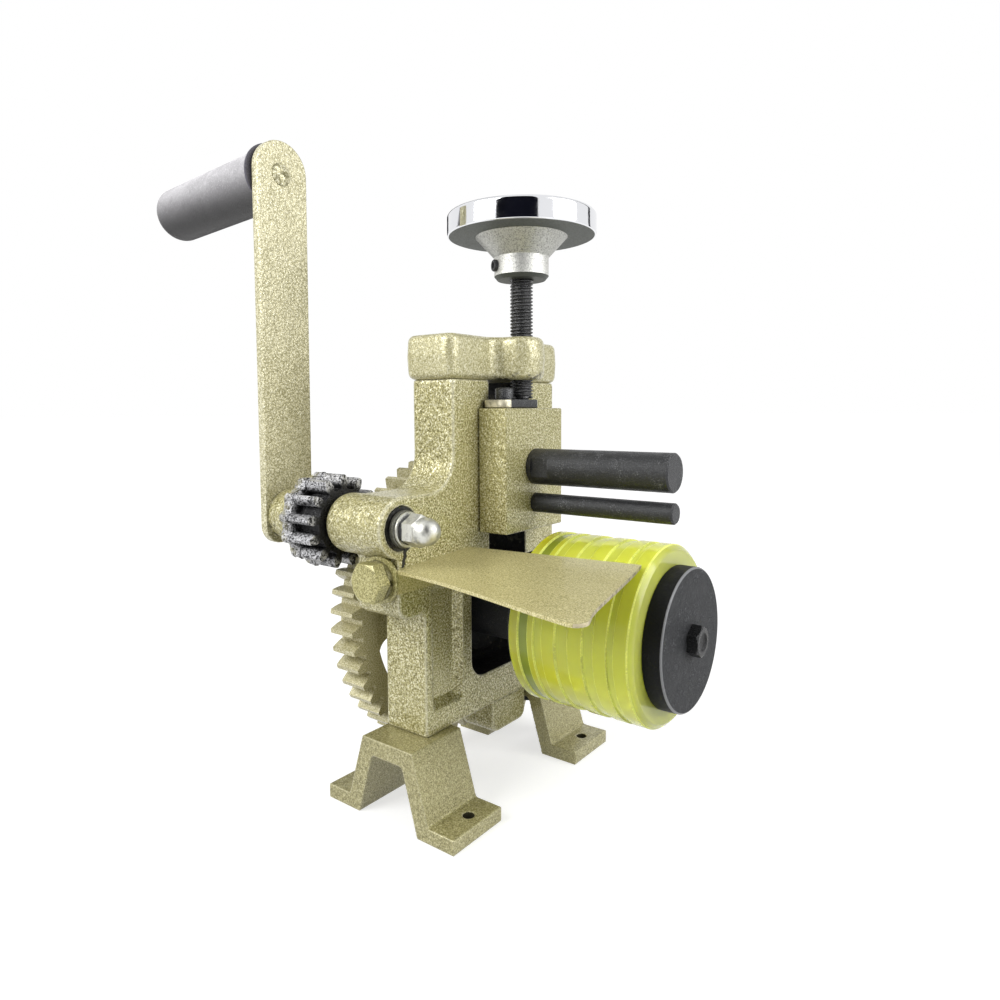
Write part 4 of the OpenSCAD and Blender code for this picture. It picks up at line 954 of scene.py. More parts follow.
@dataclass
class Casting(Assembly):
    """The main casting with its ear, pocket, slot and recess, its feet and its cap."""

    depth: float = 26.5
    half: float = 44.7
    bottom: float = FOOT_TOP
    top: float = 209.4
    base_y: float = -66.1
    edge: float = 1.0
    ear_r: float = 14.2
    ear_bottom: float = 98.86
    ear_rear: float = 37.6
    ear_hollow: float = 17.0
    boss_r: float = 27.7
    boss_rear: float = -33.5
    boss_front: float = -16.0
    pocket_depth: float = 18.3
    pocket_half: float = 31.1
    pocket_rise: float = 18.3
    pocket_top: float = 114.6
    slot_half: float = 16.7
    lug_y: float = 4.2
    lug_half: float = 15.2
    lug_drop: float = 18.6
    bolt_hole_r: float = 5.0
    spotface_r: float = 11.3
    skin: float = 0.85
    foot_hole_x: float = 33.0
    foot_hole_r: float = 2.7

    def outline(self) -> list[Pair]:
        """The casting from the front, ear and all."""
        ear_top = PINION_Z + self.ear_r
        lower = math.degrees(math.acos((EAR_SIDE - PINION_Y) / self.ear_r))
        hollow, r = self.ear_hollow, 7
        return [
            (self.half, self.bottom),
            (self.half, self.top),
            (-self.half, self.top),
            *arc((-self.half - hollow, ear_top + hollow), hollow, 0, -90, 10),
            *arc((PINION_Y, PINION_Z), self.ear_r, 90, 360 - lower, 16),
            *arc((EAR_SIDE + r, self.ear_bottom + r), r, 180, 270, 6),
            (self.base_y, self.ear_bottom),
            (self.base_y, self.bottom),
        ]

    def build(self) -> None:
        """Models the casting and its feet and cap."""
        self.casting()
        for node, y in (("foot_left", -64.0), ("foot_right", 39.0)):
            self.foot(node, y)
        self.cap()
        self.screws()
        self.leaked_grease()

    def casting(self) -> None:
        """Pushes the outline out, rounds it, cuts pocket, slot, recess and bores, and skins it."""
        body = make.plate("casting", self.outline(), -self.depth, 0)
        make.soften(body, self.edge, 3, clamp=False)
        make.carve(body, make.plate("pocket", self.pocket_outline(), -self.pocket_depth, 3))
        make.carve(body, self.recess())
        make.drill(body, MAIN_BORE, (-36, 0, SHAFT_Z), Axis.X, 40)
        make.drill(body, PINION_BORE, (-40, PINION_Y, PINION_Z), Axis.X, 50)
        make.drill(body, self.bolt_hole_r, (BOLT_X, EAR_SIDE - 2, BOLT_Z), Axis.Y, 26)
        make.drill(body, self.spotface_r, (BOLT_X, EAR_SIDE - 18, BOLT_Z), Axis.Y, 18.0)
        lug = make.plate("lug", self.lug_outline(), 2.15 - self.depth, -2.15)
        make.soften(lug, 1.6, 3, clamp=False)
        boss = make.turned("boss", self.boss(), (0, 0, SHAFT_Z), Axis.X, 72)
        ear = make.turned("ear", self.ear_boss(), (0, PINION_Y, PINION_Z), Axis.BACK, 72)
        make.join(body, lug, boss, ear)
        make.cast(body, self.skin, 2)
        slot, front = self.slot_half, -0.7
        make.carve(body, make.box("slot", (-30, -slot, 110), (3, slot, 215)))
        # The slot's and pocket's inner walls are blackened: painted shade deep in these recesses, over the
        # grease on the slot's slide ways.
        slot_walls = ((-27.5, -slot - 0.5, 109.0), (front, slot + 0.5, 210.5))
        pocket_walls = ((-18.9, -31.5, self.bottom + 17.6), (front, 31.5, 118.4))
        finish = Hammertone(
            "hammertone_casting", lump=0.6, face_lump=0.07, edge_light_and_crease_shade=0.4, grease_and_shade=(slot_walls, pocket_walls)
        )
        self.add(body, Slot.hammertone, ["frame_casting"], finish=finish, smooth=60)

    def boss(self) -> list[Pair]:
        """The profile of the main bearing boss around its bore, with broken edges."""
        radius, bore, rear, front = self.boss_r, MAIN_BORE, self.boss_rear, self.boss_front
        return [
            (bore, rear), (radius - 1.5, rear), (radius, rear + 1.5), (radius, front - 0.6),
            (radius - 0.6, front), (bore, front), (bore, rear),
        ]

    def ear_boss(self) -> list[Pair]:
        """The profile of the pinion boss around its bore, up to its rounded rear end."""
        end, bore, start, wall = self.ear_rear, PINION_BORE, 10, 11.5
        rounding = [(r, h) for h, r in arc((end - 5, self.ear_r - 5), 5, 90, 0, 6)]
        step = [(wall, start), (wall, 24.2), (self.ear_r, 24.6)]
        return [(bore, start), *step, *rounding, (bore, end), (bore, start)]

    def lug_outline(self) -> list[Pair]:
        """The lug below the casting."""
        left, right, r = self.lug_y - self.lug_half, self.lug_y + self.lug_half, 5
        low, high = self.bottom - self.lug_drop, self.bottom + 6
        return [
            (left, high),
            *arc((left + r, low + r), r, 180, 270, 6),
            *arc((right - r, low + r), r, 270, 360, 6),
            (right, high),
        ]

    def pocket_outline(self) -> list[Pair]:
        """The pocket behind the roller."""
        half, low, high, r = self.pocket_half, self.bottom + self.pocket_rise, self.pocket_top, 10
        return [
            (half, high),
            (-half, high),
            *arc((-half + r, low + r), r, 180, 270, 8),
            *arc((half - r, low + r), r, 270, 360, 8),
        ]

    def recess(self) -> Piece:
        """A block that narrows to its floor, made by pulling a face in."""
        y0, z0 = self.base_y + 4.6, self.bottom + 10.9
        wide, high, floor_wide, floor_high, deep = 23.7, 62.3, 15.7, 54.3, 4
        tool = make.box("recess", (-deep, y0, z0), (0, y0 + wide, z0 + high))
        make.faces(tool, lambda normal: normal.x < -0.9)
        middle = spot(-deep, y0 + wide / 2, z0 + high / 2)
        bpy.ops.transform.resize(value=(1, floor_wide / wide, floor_high / high), center_override=middle)
        make.faces(tool, lambda normal: normal.x > 0.9)
        make.push((3 * MM, 0, 0))
        make.mode("OBJECT")
        make.soften(tool, 1.2, 2)
        return tool

    def foot(self, node: str, y: float) -> None:
        """Models one bridge foot from its side outline."""
        half, leg, land, flange, high = 41.0, 25.85, 16.0, 7.0, FOOT_TOP
        wide, holes_y = 35.3, y + 2.5
        right = [(half, 0), (half, flange), (leg, flange), (land, high)]
        outline = [(-half, 0), *right, *[(-x, z) for x, z in reversed(right[1:])]]
        hollow = [(-19.3, -1), (19.3, -1), (9.8, 30.4), (-9.8, 30.4)]
        side = [(x - ORIGIN_X, y - wide / 2, z) for x, z in outline]
        body = make.prism(node + "_body", side, (0, wide, 0))
        tool = make.prism("hollow", [(x - ORIGIN_X, y - 20, z) for x, z in hollow], (0, 40, 0))
        make.soften(tool, 1.2, 2)
        make.carve(body, tool)
        places = [side * self.foot_hole_x - ORIGIN_X for side in (-1, 1)]
        for x in places:
            make.drill(body, self.foot_hole_r, (x, holes_y, -1), Axis.Z, 10)
        make.cast(body, 0.55, 1)
        finish = Hammertone(
            "hammertone_foot", srgb("D0CAA0"), srgb("A29B6C"), srgb("5F5A30"), flake=1500, lump=0.14,
            face_lump=0.14, contrast=0.8, edge_light_and_crease_shade=0.12,
        )
        self.add(body, Slot.hammertone, [node], finish=finish, smooth=60)
        # Painted shade: the walls inside the bolt holes are painted dark olive.
        shade = Moulded("foot_hole_shade", srgb("2C2916"), rough=0.7)
        holes = [spot(x, holes_y, 0) for x in places]
        near = (self.foot_hole_r + 0.7) * MM
        Paint.part(
            body, shade, lambda c, n: abs(n.z) < 0.6 and any((c - hole).xy.length < near for hole in holes)
        )

    def cap(self) -> None:
        """Models the cap, widest at half its height, with its nose and hollows, and skins it."""
        front, rear, half, high = 2.0, -29.7, 48.2, 22.0
        r, nose, hollow = 5.5, 12, 7
        screw_r, screw_x, screw_y = 6.9, -13.25, 30.725
        outline = [
            *arc((rear + r, -half + r), r, 180, 270, 4),
            *arc((front - r, -half + r), r, 270, 360, 4),
            *arc((front + hollow, -nose - hollow), hollow, 180, 90, 6),
            *arc((SCREW_X, 0), nose, -90, 90, 16),
            *arc((front + hollow, nose + hollow), hollow, 270, 180, 6),
            *arc((front - r, half - r), r, 0, 90, 4),
            *arc((rear + r, half - r), r, 90, 180, 4),
        ]
        middle = spot((front + rear) / 2, 0, self.top)
        body = make.draw("cap_body", [spot(x, y, self.top) for x, y in outline], True)
        narrow = (0.975, 0.985)
        bpy.ops.transform.resize(value=(*narrow, 1), center_override=middle)
        for share in ((1 / narrow[0], 1 / narrow[1]), narrow):
            make.push((0, 0, high / 2 * MM))
            bpy.ops.transform.resize(value=(*share, 1), center_override=middle)
        make.close(body)
        make.soften(body, 3.2, 5, 45, clamp=False)
        make.drill(body, 5.9, (SCREW_X, 0, self.top - 2), Axis.Z, 30)
        for side in (-1, 1):
            make.drill(body, screw_r, (screw_x, side * screw_y, self.top + 14.3), Axis.Z, 20)
        make.cast(body, 0.6, 5)
        lip = ((2.0, -16.0, self.top - 1), (24.0, 8.0, self.top + 3.5))
        finish = Hammertone(
            "hammertone_cap", srgb("F0EDD4"), srgb("C2BC92"), srgb("76703F"), flake=1400, lump=0.2,
            face_lump=0.2, contrast=0.75, edge_light_and_crease_shade=0.3, smudged=(lip,),
        )
        self.add(body, Slot.hammertone, ["top_cap"], finish=finish, smooth=60)

    def screws(self) -> None:
        """Breaks the edges of the screws and bolts, and dresses the bushes."""
        for node in ("foot_bolts", "cap_screws"):
            self.softened(node + "_set", node, Slot.black_oxide, 0.3)
        Paint.node("main_bush", Slot.bronze.value)
        Paint.node("pinion_bush", Grease())

    def leaked_grease(self) -> None:
        """Models the grease that leaks around the nut and runs down to the table."""
        edge = []
        for step in range(48):
            a = 2 * math.pi * step / 48
            r = 8.0 + 0.4 * math.sin(3 * a + 1.0) + 0.2 * math.sin(7 * a)
            edge.append((PINION_Y - 0.7 + r * math.cos(a), PINION_Z - 0.9 + r * math.sin(a)))
        ring = make.plate("grease_ring", edge, -0.2, 0.45)
        make.carve(ring, make.rod("hole", 6.6, -1, 2, (0, PINION_Y, PINION_Z), Axis.X, 96))
        make.soften(ring, 0.3, 2)
        self.add(ring, Slot.greased_steel, [], finish=Grease())
        path = [
            (-77.0, 133.6, 3.0), (-77.9, 131.6, 1.5), (-79.3, 130.2, 0.8), (-78.9, 128.6, 1.0),
            (-80.1, 126.8, 0.8), (-80.0, 125.2, 0.9), (-80.9, 123.6, 0.6),
        ]
        sides = [(y - w, z) for y, z, w in path] + [(y + w, z) for y, z, w in reversed(path)]
        streak = make.plate("grease_streak", sides, -0.2, 0.4)
        make.soften(streak, 0.3, 2)
        self.add(streak, Slot.greased_steel, [], finish=Grease())


@dataclass
class WorkTable(Assembly):
    """The painted sheet with its bolt and washers."""

    thick: float = 1.5
    slope: float = math.radians(3.2)
    high: float = 123.3
    low: float = 112.3
    flange_end: float = -41.49
    sunk: float = 0.7

    def build(self) -> None:
        """Models the sheet and its bolt set."""
        self.sheet()
        washer_y = EAR_SIDE - self.thick - 1.99
        head_y = washer_y - 2.4
        head = make.hexagon("table_bolt_head", 17, 6.4, (BOLT_X, head_y, BOLT_Z), Axis.LEFT, Axis.X, 0.8)
        shank = [(0, 0), (5.0, 0), (5.0, 27.4), (4.2, 28.0), (0, 28.0)]
        make.join(head, make.turned("shank", shank, (BOLT_X, head_y - 0.02, BOLT_Z), Axis.Y, 48))
        self.add(head, Slot.hammertone, ["table_bolt"], finish=BOLT, smooth=25)
        self.softened("table_spring", "table_spring_washer", Slot.hammertone, 0.3, finish=SHADED)
        disc = make.washer("table_disc", 5.3, 11.0, 2.0, (BOLT_X, washer_y, BOLT_Z), Axis.Y)
        self.add(disc, Slot.hammertone, ["table_washer"], finish=BOLT)

    def level(self, y: float, drop: float = 0) -> float:
        """The height of the tilted sheet's upper face, or of a plane below it."""
        return self.high + (y - EAR_SIDE) * math.tan(self.slope) - drop / math.cos(self.slope)

    def sheet(self) -> None:
        """Extrudes the tilted sheet, and hangs its flange and its tab from it."""
        thick, rear, low, end = self.thick, EAR_SIDE - self.thick, self.low, self.flange_end
        outline = [
            (0, rear), (14, rear - 1.6), (30, rear - 4.0), (54.5, -94.2), (84.6, -101.5),
            *arc((101.3, -100.1), 4.7, 256, 379, 8),
            (103.0, -91.5), (101.3, -84.5), (98.6, -70),
            (96.0, -56), (92.9, -40), (89.4, -24.6), (0, -33.5),
        ]
        plate = make.draw("table_sheet", [spot(x, y, self.level(y, thick)) for x, y in outline], True)
        rise = spot(0, 0, self.level(0)) - spot(0, 0, self.level(0, thick))
        make.push(rise)
        make.close(plate)
        high = self.level(rear, self.sunk)
        side = [(rear, low), (end, low), (end, self.level(end, self.sunk)), (rear, high)]
        flange = make.plate("flange", side, 0, thick)
        tab = make.box("tab", (-25, rear, low), (thick, rear + thick, high))
        make.carve(flange, tab, "UNION")
        make.carve(plate, flange, "UNION")
        make.soften(plate, 0.35, 2)
        self.add(plate, Slot.hammertone, ["table_plate"], finish=SHEET)
        # The sheet's front edge faces are painted pale: worn paint, and a painted highlight along the edge.
        wear_and_highlight = PlainMetal("sheet_edge_highlight", srgb("C9BFA0"), rough=0.34, grain=0.1, mottle=0.9)
        limit = spot(3, 0, 0).x
        Paint.part(plate, wear_and_highlight, lambda c, n: c.x > limit and n.x > 0.3)


@dataclass
class SlidingBlock(Assembly):
    """The block that carries the mandrels down the slot."""

    body: str = "slide"
    rear: float = 0.5
    front: float = 17.8
    half: float = 25.7
    tongue_half: float = 16.5
    low: float = 132.3
    high: float = 195.0

    def build(self) -> None:
        """Models the block, the mandrels, the keeper and the guide."""
        low, high, half = self.low, self.high, self.tongue_half
        block = make.box("block_body", (self.rear, -self.half, low), (self.front, self.half, high))
        make.soften(block, 0.9, 3)
        make.carve(block, make.box("tongue", (-27.0, -half, low), (2, half, high)), "UNION")
        make.drill(block, 6.15, (SCREW_X, 0, high - 6), Axis.Z, 8)
        tongue = ((-27.5, -half - 0.4, low - 1.3), (0.2, half + 0.4, high + 1))
        finish = Hammertone("hammertone_block", lump=0.65, face_lump=0.05, contrast=0.9, grease_and_shade=(tongue,))
        self.add(block, Slot.hammertone, ["slide_block"], finish=finish)
        self.mandrel("mandrel_large", "large_mandrel", r=9.25, length=76.1, z=165.0, flats=True)
        self.mandrel("mandrel_small", "small_mandrel", r=5.0, length=76.7, z=146.3, flats=False)
        self.keeper()
        self.softened("guide_bar", "guide_plate", Slot.hammertone, 0.5, finish=FINE)
        self.softened("guide_bolts", "guide_screws", Slot.black_oxide, 0.2)

    def keeper(self) -> None:
        """Models the round-ended keeper with its slot for the screw's neck, and its screw."""
        x0, x1, left, right, low, thick = self.rear, 15.3, -22.8, 7.0, self.high, 4.5
        screw = (7.9, -13.7, low + thick)
        outline = [
            *arc((x1 - 5, left + 5), 5, 0, -90, 8),
            *arc((x0 + 2.5, left + 2.5), 2.5, -90, -180, 6),
            (x0, right),
            *arc((x1 - 2, right - 2), 2, 90, 0, 4),
        ]
        bar = make.prism("keeper_bar", [(x, y, low) for x, y in outline], (0, 0, thick))
        make.drill(bar, 4.1, (SCREW_X, 0, low - 1), Axis.Z, 6)
        make.carve(bar, make.box("neck", (x0 - 1, -4.1, low - 1), (SCREW_X, 4.1, low + 6)))
        make.soften(bar, 0.7, 3, clamp=False)
        wear_and_highlight = BlackSteel("keeper_steel", wear=0.9, gloss=0.28)
        self.add(bar, Slot.black_oxide, ["keeper_plate"], finish=wear_and_highlight)
        # The left end's side and front faces are painted a pale steel colour.
        pale_end = PlainMetal("keeper_pale_end", srgb("D8D2BC"), rough=0.4, grain=0.25, mottle=0.6)
        limit = spot(0, -12.5, 0).y
        Paint.part(bar, pale_end, lambda c, n: c.y < limit and abs(n.z) < 0.4 and n.x > -0.2)
        shank = [(0, -14.0), (3.0, -14.0), (3.0, 0)]
        head = [(4.3, 0), (4.6, 0.3), (4.6, 5.2), (4.1, 5.8), (2.9, 5.9), (2.6, 3.2), (0, 3.0)]
        bolt = make.turned("keeper_bolt", [*shank, *head], screw, Axis.Z, 48)
        shiny = BlackSteel("screw_steel", gloss=0.14, shine=1.0)
        self.add(bolt, Slot.black_oxide, ["keeper_screw"], finish=shiny)

    def mandrel(self, name: str, node: str, r: float, length: float, z: float, flats: bool) -> None:
        """Turns one mandrel, and mills the two flats of the large one."""
        profile = [
            (0, -30), (r * 0.6, -30), (r * 0.6, 0), (r - 0.3, 0), (r, 0.3), (r, length - 0.7),
            (r - 0.7, length), (0, length),
        ]
        rod = make.turned(name, profile, (self.front, 0, z), Axis.X, 72)
        start, end, near, far = self.front + 2.6, self.front + 12.6, 8.0, 12.0
        for low, high in ((-far, -near), (near, far)) if flats else ():
            make.carve(rod, make.box("flat", (start, low, z - far), (end, high, z + far)))
        self.add(rod, Slot.black_oxide, [node])


@dataclass
class PressureScrew(Assembly):
    """The threaded screw and the turned handwheel on it."""

    body: str = "screw"
    x: float = SCREW_X
    foot: float = 189.7
    crest: float = 5.85
    root: float = 4.9
    thread_start: float = 199.8
    thread_turns: int = 35
    pitch: float = 1.75
    wheel: float = 260.6

    def build(self) -> None:
        """Models the thread, the wheel and the set screw."""
        self.thread()
        self.handwheel()
        self.set_screw()

    def thread(self) -> None:
        """Winds one pitch of the thread's profile up the screw, around a turned core."""
        crest, root = self.crest, self.root
        shares = (
            (root, 0.0), (crest - 0.12, 0.22), (crest, 0.3), (crest, 0.52), (crest - 0.12, 0.6),
            (root, 0.82), (root, 1.0),
        )
        points = [spot(self.x + r, 0, self.thread_start + share * self.pitch) for r, share in shares]
        piece = make.draw("screw_thread", points, False)
        make.mode("OBJECT")
        bpy.context.scene.cursor.location = spot(self.x, 0, 0)
        bpy.ops.object.origin_set(type="ORIGIN_CURSOR")
        wind = piece.modifiers.new("wind", "SCREW")
        wind.axis = "Z"
        wind.angle = 2 * math.pi
        wind.screw_offset = self.pitch * MM
        wind.iterations = self.thread_turns
        wind.steps = wind.render_steps = 40
        wind.use_merge_vertices = True
        wind.use_normal_flip = False
        make.apply(piece, wind)
        make.settle()
        inner = root - 0.05
        core = [
            (0, 0), (crest, 0), (crest, 5), (3.8, 5), (3.8, 10.2), (inner, 10.4), (inner, 72),
            (crest, 72.2), (crest, 101.5), (0, 101.5),
        ]
        make.join(piece, make.turned("screw_core", core, (self.x, 0, self.foot), Axis.Z, 48))
        steel = BlackSteel("thread_steel", srgb("1C1C1E"), srgb("A8A8AA"), gloss=0.2, shine=1.0, wear=0.5)
        self.add(piece, Slot.black_oxide, ["pressure_screw"], finish=steel, smooth=50)

    def handwheel(self) -> None:
        """Turns the wheel: hub, cone, flange, rim and dish."""
        bore, hub, cone_r, rim, low, high = self.crest, 14.0, 23.8, 38.2, 21.8, 32.9
        profile = [
            (bore, 0.6), (6.4, 0), (hub - 1.6, 0), (hub, 1.9), (hub, 11.2), (hub + 0.15, 11.3),
            (hub + 0.3, 11.6), (cone_r - 0.2, low - 0.2), (cone_r + 0.5, low), (rim - 0.9, low),
            (rim - 0.25, low + 0.25), (rim, low + 0.9), *arc((rim - 2.2, high - 2.2), 2.2, 0, 90, 6),
            (30.4, high), (29.4, high - 0.5), (28.4, high - 2), (8, high - 2), (bore, high - 2.2),
            (bore, 0.6),
        ]
        wheel = make.turned("wheel_body", profile, (self.x, 0, self.wheel), Axis.Z, 128)
        self.add(wheel, Slot.polished_steel, ["handwheel"], smooth=25)
        # The flange's underside and the hub's foot are painted darker as shade under the wheel; the other
        # zones are the wheel's own turned finishes.
        zones = (
            (self.steel("turned_cone", "BEBEB8", 0.34, 2600, 0.08, 0.8), 24.0, 11.4, 21.7),
            (self.steel("turned_hub", "E0E0DB", 0.42, 300, 0.12, 0.6), 24.0, 1.85, 11.4),
            (self.steel("turned_under_shade", "5E625F", 0.5, 2600, 0.04, 0.4, 0.2), 37.4, 21.6, 21.95),
            (self.steel("turned_foot_shade", "4A4D48", 0.45, 2600, 0.04, 0.3, 0.3), 24.0, -1.0, 1.85),
            (self.steel("turned_dish", "B4B4B0", 0.34, 2600, 0.05, 0.3), 30.0, 29.0, 33.0),
        )
        for finish, reach, bottom, top in zones:
            Paint.part(wheel, finish, lambda c, n, z=(reach, bottom, top): self.within(c, *z))

    def steel(self, name: str, code: str, *values: float) -> TurnedSteel:
        """A finish with rings around the wheel's axis, from a hex colour and further values."""
        return TurnedSteel(name, (self.x, 0, self.wheel), (0, 1), srgb(code), *values)

    def within(self, place: Vector, reach: float, low: float, high: float) -> bool:
        """Whether a place on the wheel lies inside a radius and between two heights."""
        away = (place - spot(self.x, 0, self.wheel)) / MM
        return math.hypot(away.x, away.y) < reach and low < away.z < high

    def set_screw(self) -> None:
        """Turns the small screw in the hub's side, with its socket."""
        turn, rise = math.radians(238), 6.7
        way = Vector((math.cos(turn), math.sin(turn), 0))
        shank = [(0, 6.2), (3.0, 6.2), (3.0, 15.3), (2.6, 15.8)]
        socket = [(1.7, 15.8), (1.5, 15.5), (1.5, 13.4), (0, 13.2)]
        grub = make.turned("wheel_grub", [*shank, *socket], (self.x, 0, self.wheel + rise), way, 36)
        self.add(grub, Slot.black_oxide, ["wheel_set_screw"])
        axis = spot(self.x, 0, self.wheel + rise)
        bright = PlainMetal("socket_steel", srgb("D8D8D4"), rough=0.3, grain=0.05)
        Paint.part(grub, bright, lambda c, n: ((c - axis) - (c - axis).dot(way) * way).length < 1.45 * MM)


@dataclass
class Roller(Assembly):
    """The shaft with the large gear behind and the soft roller in front.

    Each groove of the tyre has its start and end as shares of the tyre's length.
    """

    body: str = "roller"
    tyre_x: float = 30.5
    tyre_l: float = 63.0
    tyre_r: float = 42.4
    shaft_r: float = 12.5
    neck_r: float = 18.2
    disc_r: float = 38.0
    core_r: float = 29.0
    groove_depth: float = 0.8
    grooves: tuple[Pair, ...] = (
        (0.078, 0.167), (0.215, 0.29), (0.397, 0.508), (0.62, 0.708), (0.811, 0.863),
    )
    cap_x: float = 102.8
    nut_x: float = -54.0

    def build(self) -> None:
        """Models hub, tyre, end cap, gear and the pieces at the rear."""
        bore, neck, disc, core = self.shaft_r, self.neck_r, self.disc_r, self.core_r
        rear, front = -15.7, self.tyre_x + self.tyre_l - 0.1
        hub = [
            (bore, rear), (neck, rear), (neck, 25.9), (neck + 0.6, 26.4), (disc - 0.6, 26.4), (disc, 27.0),
            (disc, self.tyre_x - 0.5), (disc - 0.5, self.tyre_x), (core, self.tyre_x), (core, front),
            (bore, front), (bore, rear),
        ]
        body = make.turned("hub_body", hub, (0, 0, SHAFT_Z), Axis.X)
        self.add(body, Slot.black_roller, ["roller_hub"])
        inner = Moulded("hub_core", srgb("86A63C"), rough=0.4)
        start = spot(self.tyre_x + 0.5, 0, 0).x
        Paint.part(body, inner, lambda c, n: c.x > start and math.hypot(n.y, n.z) > 0.9)
        self.tyre()
        self.end_cap()
        gear = Hammertone(
            "hammertone_gear", srgb("E2DEC4"), srgb("BAB388"), srgb("726C42"), flake=1600, pebble=700,
            lump=0.1, face_lump=0.1, contrast=0.75, outline=0.15,
        )
        self.softened("gear_wheel", "large_gear", Slot.hammertone, 0.4, finish=gear)
        self.softened("rear_shaft", "main_shaft", Slot.bright_steel, 0.3)
        washer = make.washer("rear_washer", 12.6, 18.0, 2.4, (self.nut_x, 0, SHAFT_Z), Axis.X)
        self.add(washer, Slot.bright_steel, ["shaft_washer"])
        nut = make.hexagon("rear_nut", 30, 10.0, (self.nut_x, 0, SHAFT_Z), Axis.BACK, Axis.Z, 1.8)
        make.drill(nut, self.shaft_r, (self.nut_x - 12, 0, SHAFT_Z), Axis.X, 14)
        self.add(nut, Slot.bright_steel, ["shaft_nut"], smooth=25)
        for node in ("gear_key", "roller_key"):
            Paint.node(node, Slot.bright_steel.value)

    def end_cap(self) -> None:
        """Turns the end cap with its pale front edge, worn and painted as a highlight, and its side painted
        darker as shade, and models its bolt.
        """
        bore, r, rear, front = 4.1, 33.1, self.tyre_x + self.tyre_l, self.cap_x
        profile = [
            (bore, rear), (r - 0.6, rear), (r, rear + 0.6), (r, front - 0.8), (r - 0.3, front - 0.3),
            (r - 0.8, front), (bore, front), (bore, rear),
        ]
        disc = make.turned("cap_disc", profile, (0, 0, SHAFT_Z), Axis.X, 128)
        face = BlackSteel(
            "cap_face", srgb("2F3032"), srgb("8A8B8D"), gloss=0.52, wear=0.6, shine=0.2, grain=0.6
        )
        self.add(disc, Slot.black_roller, ["end_cap"], finish=face)
        # Painted shade: the cap's side gets a darker copy of the face's black steel.
        side = BlackSteel("cap_side_shade", srgb("18191A"), srgb("3A3B3C"), gloss=0.5, wear=0.4, shine=0.15)
        Paint.part(disc, side, lambda c, n: abs(n.x) < 0.3)
        # The bevel at the front edge is painted pale: wear, and a painted highlight.
        wear_and_highlight = BlackSteel("cap_edge", srgb("7A7B7D"), srgb("A0A1A3"), gloss=0.3, wear=0.5)
        limit = spot(front - 0.8, 0, 0).x
        Paint.part(disc, wear_and_highlight, lambda c, n: 0.3 < n.x < 0.95 and c.x > limit)
        seat = (self.cap_x, 0, SHAFT_Z)
        bolt = make.hexagon("cap_bolt", 13, 5.3, seat, Axis.X, Axis.Z, 0.9)
        dish = [(0, 4.5), (3.6, 4.7), (4.3, 5.2), (4.4, 6.5), (0, 6.5)]
        make.carve(bolt, make.turned("dish", dish, seat, Axis.X, 48))
        make.join(bolt, make.rod("shank", 4.0, -29, 1, seat, Axis.X, 36))
        steel = BlackSteel("cap_bolt_steel", srgb("0E0F10"), gloss=0.22, shine=0.35, wear=0.3)
        self.add(bolt, Slot.black_oxide, ["end_cap_bolt"], finish=steel, smooth=25)

    def tyre(self) -> None:
        """Turns the tyre with its shallow grooves and bevelled front edge."""
        r, low, core = self.tyre_r, self.tyre_r - self.groove_depth, self.core_r + 0.05
        profile: list[Pair] = [(core, 0), (r - 0.5, 0), (r, 0.5)]
        for start, end in self.grooves:
            a, b = start * self.tyre_l, end * self.tyre_l
            side = (b - a) * 0.1
            profile += [(r, a - 0.25), (r - 0.12, a), (low, a + side)]
            profile += [(low, b - side), (r - 0.12, b), (r, b + 0.25)]
        profile += [
            (r, self.tyre_l - 2.6), (r - 0.5, self.tyre_l - 1.9), (r - 2.2, self.tyre_l - 0.3),
            (r - 2.8, self.tyre_l), (core, self.tyre_l), (core, 0),
        ]
        tyre = make.turned("tyre_body", profile, (self.tyre_x, 0, SHAFT_Z), Axis.X, 144)
        self.add(tyre, Slot.polyurethane, ["roller_tyre"], smooth=20)
        # Painted highlight: the grooves' walls get a paler, less yellow tone as light lines along the
        # grooves.
        line = Moulded("tyre_groove_highlight", srgb("E4EA74"), rough=0.35)
        axis, foot, crest = spot(0, 0, SHAFT_Z), (low + 0.02) * MM, (r - 0.02) * MM
        Paint.part(tyre, line, lambda c, n: foot < (c - axis).yz.length < crest)


